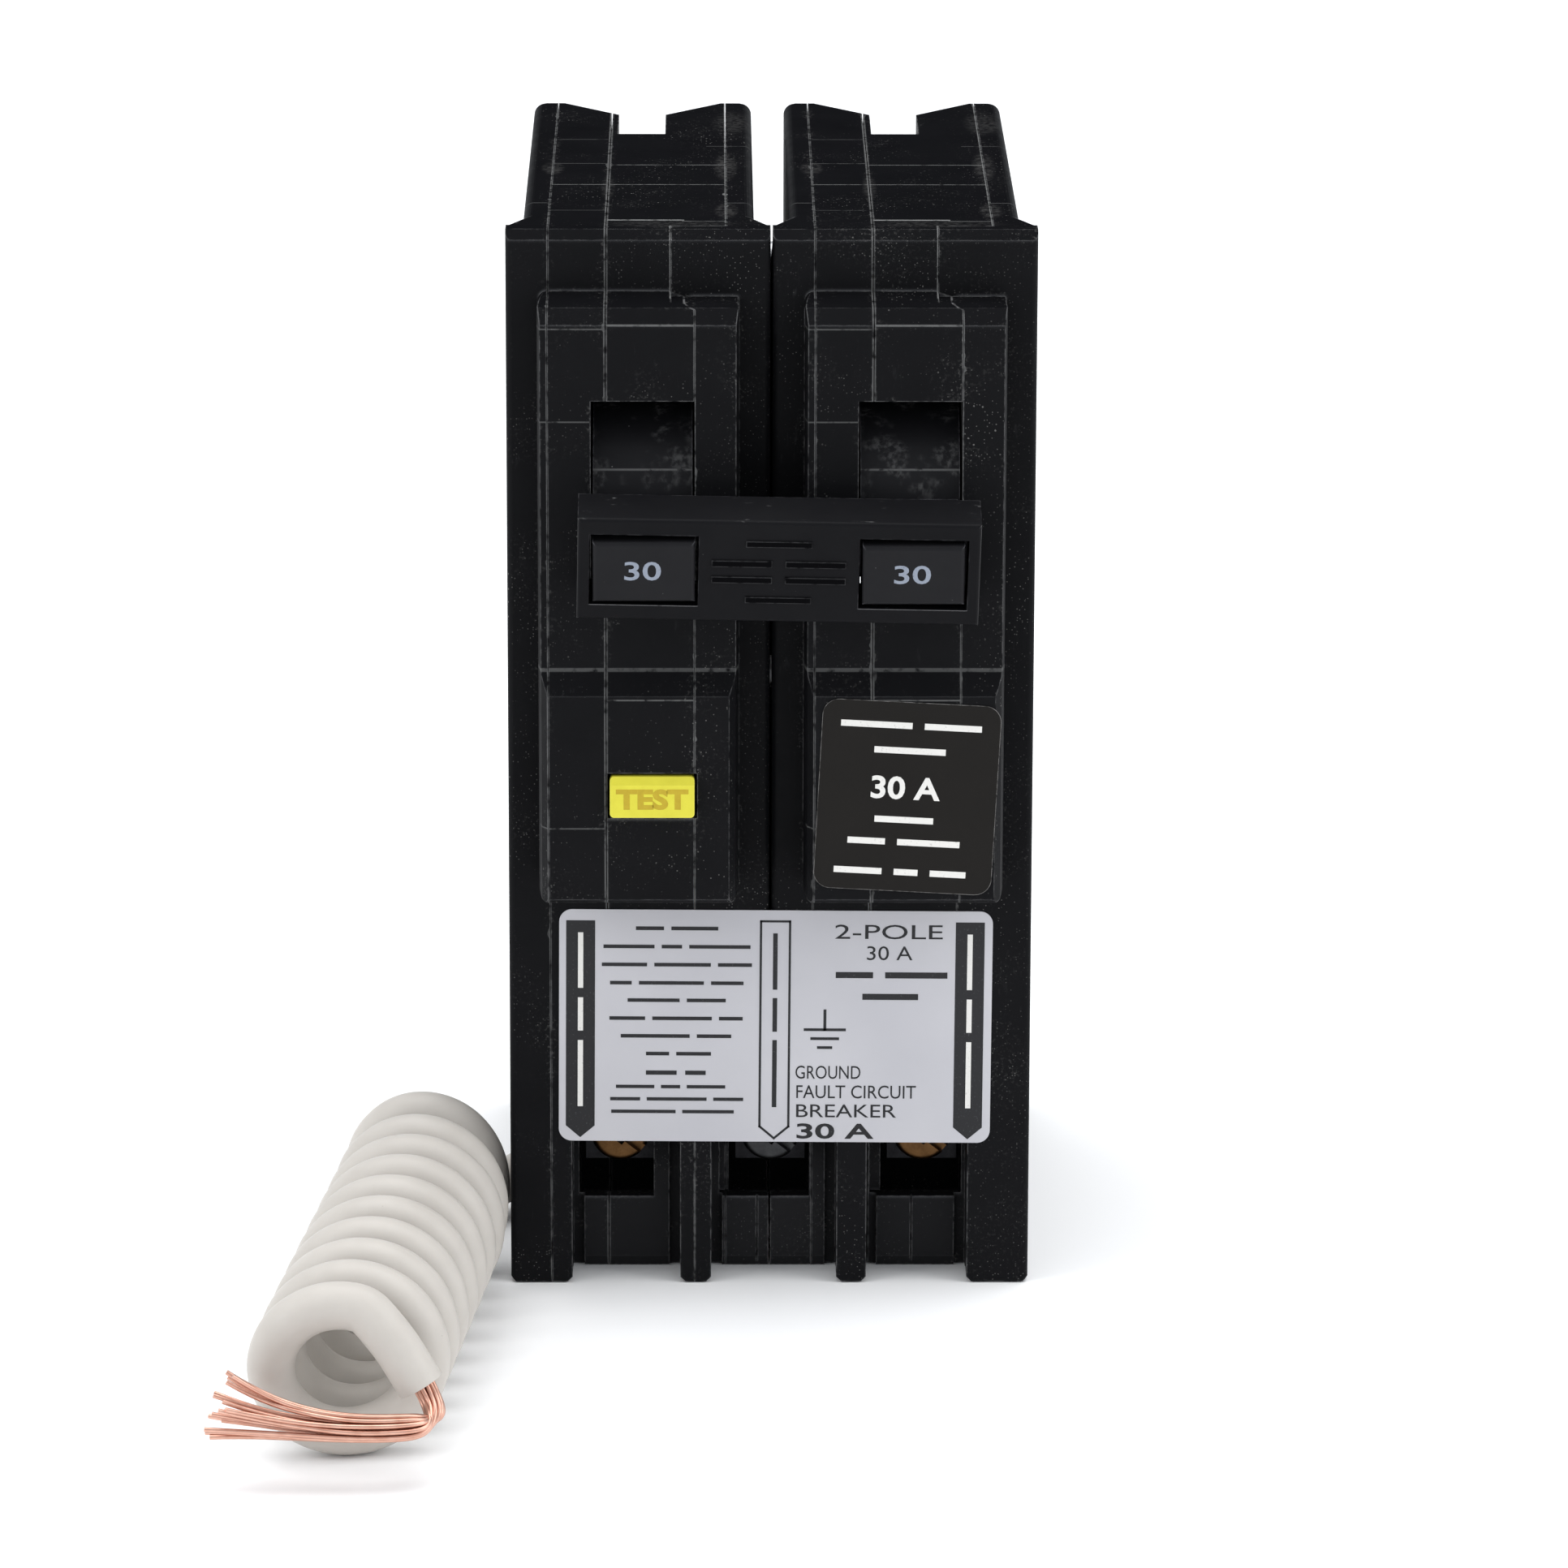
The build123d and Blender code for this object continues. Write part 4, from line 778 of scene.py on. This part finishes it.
# ---- handles, tie and test button -----------------------------------------------------------------
PIVOT = (4.0, 78.9)
OFF_ANGLE = 15.0
RIGHT_HANDLE_LAG = 1.2
HANDLE_FACE_R = 18.4
HANDLE_MIDDLE_X = 13.15                          # from the pole's left face
TIE_FACE_R = 18.05
TIE_MIDDLE_X = 0.6
TIE_TURN = 1.1
TIE_RELIEF = 0.16
BUTTON_MIDDLE = (-11.325, 50.85)
BUTTON_FACE_Y = -8.0
TEST_RELIEF = 0.02


def swung_face(x, radius, angle, turn=0.0):
    """A face square to a radius from the handle's pivot, turned down by an angle."""
    pivot = Matrix.Translation(at(0, *PIVOT))
    swing = pivot @ Matrix.Rotation(math.radians(angle), 4, "X") @ pivot.inverted()
    return swing @ front_face(x, PIVOT[0] - radius, PIVOT[1], turn)


def handle_numbers():
    for pole, angle in (("left_pole", OFF_ANGLE), ("right_pole", OFF_ANGLE + RIGHT_HANDLE_LAG)):
        x = POLE_LEFT[pole] + HANDLE_MIDDLE_X
        ink = Print(swung_face(x, HANDLE_FACE_R, angle))
        ink.words("30", -0.1, 0.25, 3.45, 2.05, 0.012)
        ink.piece(f"{pole}_handle_number", HANDLE_INK, "handles")


def tie_bars():
    """Raised bars on the tie's face, mirrored about its middle."""
    raised = Print(swung_face(TIE_MIDDLE_X, TIE_FACE_R, OFF_ANGLE, TIE_TURN))
    for side in (1, -1):
        raised.bars(0.0, -0.85 * side - 0.1, 12.6, 1.55, (1, 1), thickness=TIE_RELIEF)
        raised.bars(0.0, -2.95 * side - 0.1, 6.2, 1.45, (1,), thickness=TIE_RELIEF)
    raised.piece("handle_tie_bars", TIE_RELIEF_SHADE, "handles")


def button_word():
    letters = Print(front_face(BUTTON_MIDDLE[0], BUTTON_FACE_Y, BUTTON_MIDDLE[1]))
    letters.words("TEST", 0.0, -0.1, 6.9, 2.1, 0.045, TEST_RELIEF)
    letters.piece("test_button_word", TEST_LETTER_SHADE, "button")


# ---- springs, each a copy of its solid ------------------------------------------------------------
SPRINGS = (
    # solid, joint, the way it shortens, its fixed end, its free length and how much of that is taken up
    dict(node="plunger_spring", joint="plunger_pull", axis=(0, 0, 1),
         anchor=(POLE_LEFT["right_pole"] + 14.7, 18.0, 45.3), length=12.2, travel=1.5),
    dict(node="test_button_spring", joint="test_button_press", axis=(0, 1, 0),
         anchor=(POLE_LEFT["left_pole"] + 13.9, -0.7, 50.85), length=3.1, travel=1.2),
)


def shortening_springs():
    """A copy of each spring's solid, hung from the case, with the solid hidden."""
    for spring in SPRINGS:
        solid = frame["nodes"][spring["node"]]
        coil = bpy.data.objects.new(f"{spring['node']}_coil", solid.data.copy())
        bpy.context.collection.objects.link(coil)
        coil.matrix_world = solid.matrix_world
        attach(coil, "case")
        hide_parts(spring["node"])
        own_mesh(coil)


# ---- neutral pigtail ------------------------------------------------------------------------------
WIRE_D = 4.4
COIL_B = 6.5                                     # half height of the turns, to the wire's middle
COIL_Z = COIL_B + WIRE_D / 2
COIL_SECTIONS = (
    # along the coil: Y, the middle's X, and half width to the wire's middle
    (-55.6, -39.3, 6.8), (-8.0, -34.3, 6.7), (10.0, -33.4, 5.8),
)
TURN_PITCH = 6.55
FREE_END = ((-32.0, -56.0, 8.3), (-33.1, -55.75, 10.1), (-34.35, -55.3, 12.0), (-35.8, -54.8, 13.7))
COILED_FROM = 0.2                                # turns back from 3 o'clock to where the free end begins
LOOSE_FROM = 8.25                                # the last turns lie a little further apart
LOOSE_EXTRA = 1.1                                # millimetres in a turn
WHOLE_TURNS = 9.55
EASED_TURNS = 0.2                                # then drawn out into the lead
EASE_LENGTH = 4.0
POINTS_PER_TURN = 24
LEAD_ROUTE = (
    (-18.48, 31.1, 4.0), (-22.57, 26.71, 4.0), (-26.0, 23.0, 3.4), (-29.3, 19.5, 2.5), (-32.2, 15.8, 2.3),
)


def coil_section(y):
    """The coil's middle X and half width at a depth, straight between its sections."""
    step = sum(1 for section in COIL_SECTIONS[1:-1] if y > section[0])
    near, far = COIL_SECTIONS[step], COIL_SECTIONS[step + 1]
    share = (y - near[0]) / (far[0] - near[0])
    return near[1] + share * (far[1] - near[1]), near[2] + share * (far[2] - near[2])


def coil_point(turns):
    """A point on the coil's centreline, so many turns back from the free end."""
    eased = max(0.0, turns - WHOLE_TURNS) / EASED_TURNS
    loosened = max(0.0, turns - LOOSE_FROM)
    y = COIL_SECTIONS[0][0] + TURN_PITCH * turns + LOOSE_EXTRA * loosened + EASE_LENGTH * eased ** 2
    middle, half_width = coil_section(y)
    outward = 1 / math.cos(math.pi / POINTS_PER_TURN) ** 2
    angle = 2 * math.pi * turns
    return (middle + half_width * outward * math.cos(angle), y, COIL_Z + COIL_B * outward * math.sin(angle))


def open_spline(curve, points, order):
    spline = curve.splines.new("NURBS")
    spline.points.add(len(points) - 1)
    for target, point in zip(spline.points, points):
        target.co = (*at(*point), 1.0)
    spline.order_u = order
    spline.use_endpoint_u = True
    return spline


def route_length(curve_object):
    """Length of a curve's own line, with its thickness left off."""
    thickness = curve_object.data.bevel_depth
    curve_object.data.bevel_depth = 0.0
    bpy.context.view_layer.update()
    shape = curve_object.evaluated_get(bpy.context.evaluated_depsgraph_get()).to_mesh()
    spots = [vertex.co for vertex in shape.vertices]
    length = sum((spots[edge.vertices[0]] - spots[edge.vertices[1]]).length for edge in shape.edges)
    curve_object.data.bevel_depth = thickness
    return length


def pigtail_wire():
    turns = WHOLE_TURNS + EASED_TURNS - COILED_FROM
    steps = round(turns * POINTS_PER_TURN)
    helix = [coil_point(COILED_FROM + turns * (1 - step / steps)) for step in range(steps + 1)]
    curve = bpy.data.curves.new("pigtail_wire", "CURVE")
    curve.dimensions = "3D"
    curve.resolution_u = 4
    curve.bevel_depth = 1.0                      # times each point's radius
    curve.bevel_resolution = 8
    curve.use_fill_caps = True
    open_spline(curve, list(LEAD_ROUTE) + helix + list(reversed(FREE_END)), 3)
    for point in curve.splines[0].points:
        point.radius = WIRE_D / 2 * MM           # also keeps the curve's measured box to its own size
    wire = bpy.data.objects.new("pigtail_wire", curve)
    bpy.context.collection.objects.link(wire)
    curve.materials.append(FINISHES["white_insulation"])
    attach(wire, "case")
    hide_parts("pigtail_lead", "pigtail_coil")
    return wire


STRAND_D = 0.46
STRAND_SPINE = (
    # where the bundle runs, then how far it is spread
    ((-32.3, -55.85, 9.3), 1.0),
    ((-31.65, -56.05, 8.1), 1.0),
    ((-30.95, -56.7, 6.95), 1.0),
    ((-30.6, -58.0, 6.1), 1.05),
    ((-31.4, -59.5, 5.7), 1.1),
    ((-34.0, -60.4, 5.7), 1.2),
    ((-38.0, -60.7, 5.8), 1.25),
    ((-42.4, -60.6, 6.1), 1.4),
    ((-46.8, -60.2, 6.7), 2.0),
    ((-50.2, -59.9, 7.5), 3.1),
)


def hexagon_offsets():
    """Places of 19 round strands packed in a hexagon, in strand diameters."""
    offsets = [(0.0, 0.0)]
    for ring, count in ((1, 6), (2, 12)):
        for i in range(count):
            angle = 2 * math.pi * i / count + 0.2
            offsets.append((ring * math.cos(angle), ring * math.sin(angle)))
    return offsets


def copper_strands():
    """The bared end: strands bent aside together and frayed at their tips."""
    curve = bpy.data.curves.new("pigtail_copper", "CURVE")
    curve.dimensions = "3D"
    curve.resolution_u = 6
    curve.bevel_depth = STRAND_D / 2 * MM
    curve.bevel_resolution = 2
    curve.use_fill_caps = True
    for across, up in hexagon_offsets():
        points = []
        stray = (RANDOM.uniform(-0.8, 0.8), RANDOM.uniform(-1.0, 1.0), RANDOM.uniform(-0.5, 0.9))
        last = len(STRAND_SPINE) - 1
        for step, (centre, spread) in enumerate(STRAND_SPINE):
            bundle = STRAND_D * 0.93 * spread
            before = Vector(STRAND_SPINE[max(step - 1, 0)][0])
            after = Vector(STRAND_SPINE[min(step + 1, last)][0])
            along = (after - before).normalized()
            side = along.cross(Vector((0.3, 1.0, 0.25))).normalized()
            out = along.cross(side).normalized()
            loose = (max(0, step - 6) / (last - 6)) ** 1.5
            point = Vector(centre) + side * across * bundle + out * up * bundle
            point += Vector(stray) * loose * 1.1
            point += Vector((RANDOM.uniform(-1, 1), RANDOM.uniform(-1, 1), RANDOM.uniform(-1, 1))) * 0.07
            points.append(tuple(point))
        open_spline(curve, points, 4)
    strands = bpy.data.objects.new("pigtail_copper", curve)
    bpy.context.collection.objects.link(strands)
    curve.materials.append(FINISHES["bare_copper"])
    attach(strands, "case")
    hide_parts("pigtail_strands")
    return strands


# ---- floor, light and camera ----------------------------------------------------------------------
def floor():
    mesh = bpy.data.meshes.new("studio_floor")
    half = 8.0
    corners = [(-half, -half, 0), (half, -half, 0), (half, half, 0), (-half, half, 0)]
    mesh.from_pydata(corners, [], [(0, 1, 2, 3)])
    ground = bpy.data.objects.new("studio_floor", mesh)
    ground.location = (0, 0, -0.0001)
    bpy.context.collection.objects.link(ground)
    mesh.materials.append(floor_paint())


def soft_light(name, place, target, size, power, colour=(1, 1, 1)):
    light = bpy.data.lights.new(name, "AREA")
    light.shape = "RECTANGLE"
    light.size = size[0]
    light.size_y = size[1]
    light.energy = power
    light.color = colour
    lamp = bpy.data.objects.new(name, light)
    lamp.location = place
    lamp.rotation_euler = (Vector(target) - Vector(place)).to_track_quat("-Z", "Y").to_euler()
    bpy.context.collection.objects.link(lamp)


def studio():
    world = bpy.data.worlds.new("studio")
    bpy.context.scene.world = world
    world.use_nodes = True
    background = world.node_tree.nodes["Background"]
    background.inputs["Color"].default_value = (0.93, 0.96, 1.0, 1.0)
    background.inputs["Strength"].default_value = 0.85
    soft_light("top_light", (0.0, 0.15, 1.3), (0, 0, 0), (1.4, 1.2), 14)
    soft_light("left_light", (-1.1, -0.5, 0.7), (0, 0, 0.05), (0.7, 0.9), 5)
    soft_light("right_light", (1.1, -0.4, 0.7), (0, 0, 0.05), (0.7, 0.9), 5)
    bpy.context.scene.view_settings.view_transform = "Standard"


CAMERA_LENS = 186.5
CAMERA_PLACE = (-6.2, -755.5, 245.4)
CAMERA_ANGLES = (75.511, -0.15, -0.529)


def camera():
    data = bpy.data.cameras.new("camera")
    data.lens = CAMERA_LENS
    data.sensor_width = 36.0
    data.clip_start = 0.05
    data.clip_end = 50.0
    view = bpy.data.objects.new("camera", data)
    view.location = at(*CAMERA_PLACE)
    view.rotation_euler = [math.radians(angle) for angle in CAMERA_ANGLES]
    bpy.context.collection.objects.link(view)
    bpy.context.scene.camera = view


paint_cad_nodes()
load_label()
rating_sticker()
handle_numbers()
tie_bars()
button_word()
shortening_springs()
pigtail = pigtail_wire()
copper = copper_strands()
round(route_length(pigtail), 3)
floor()
studio()
camera()

bpy.context.view_layer.update()
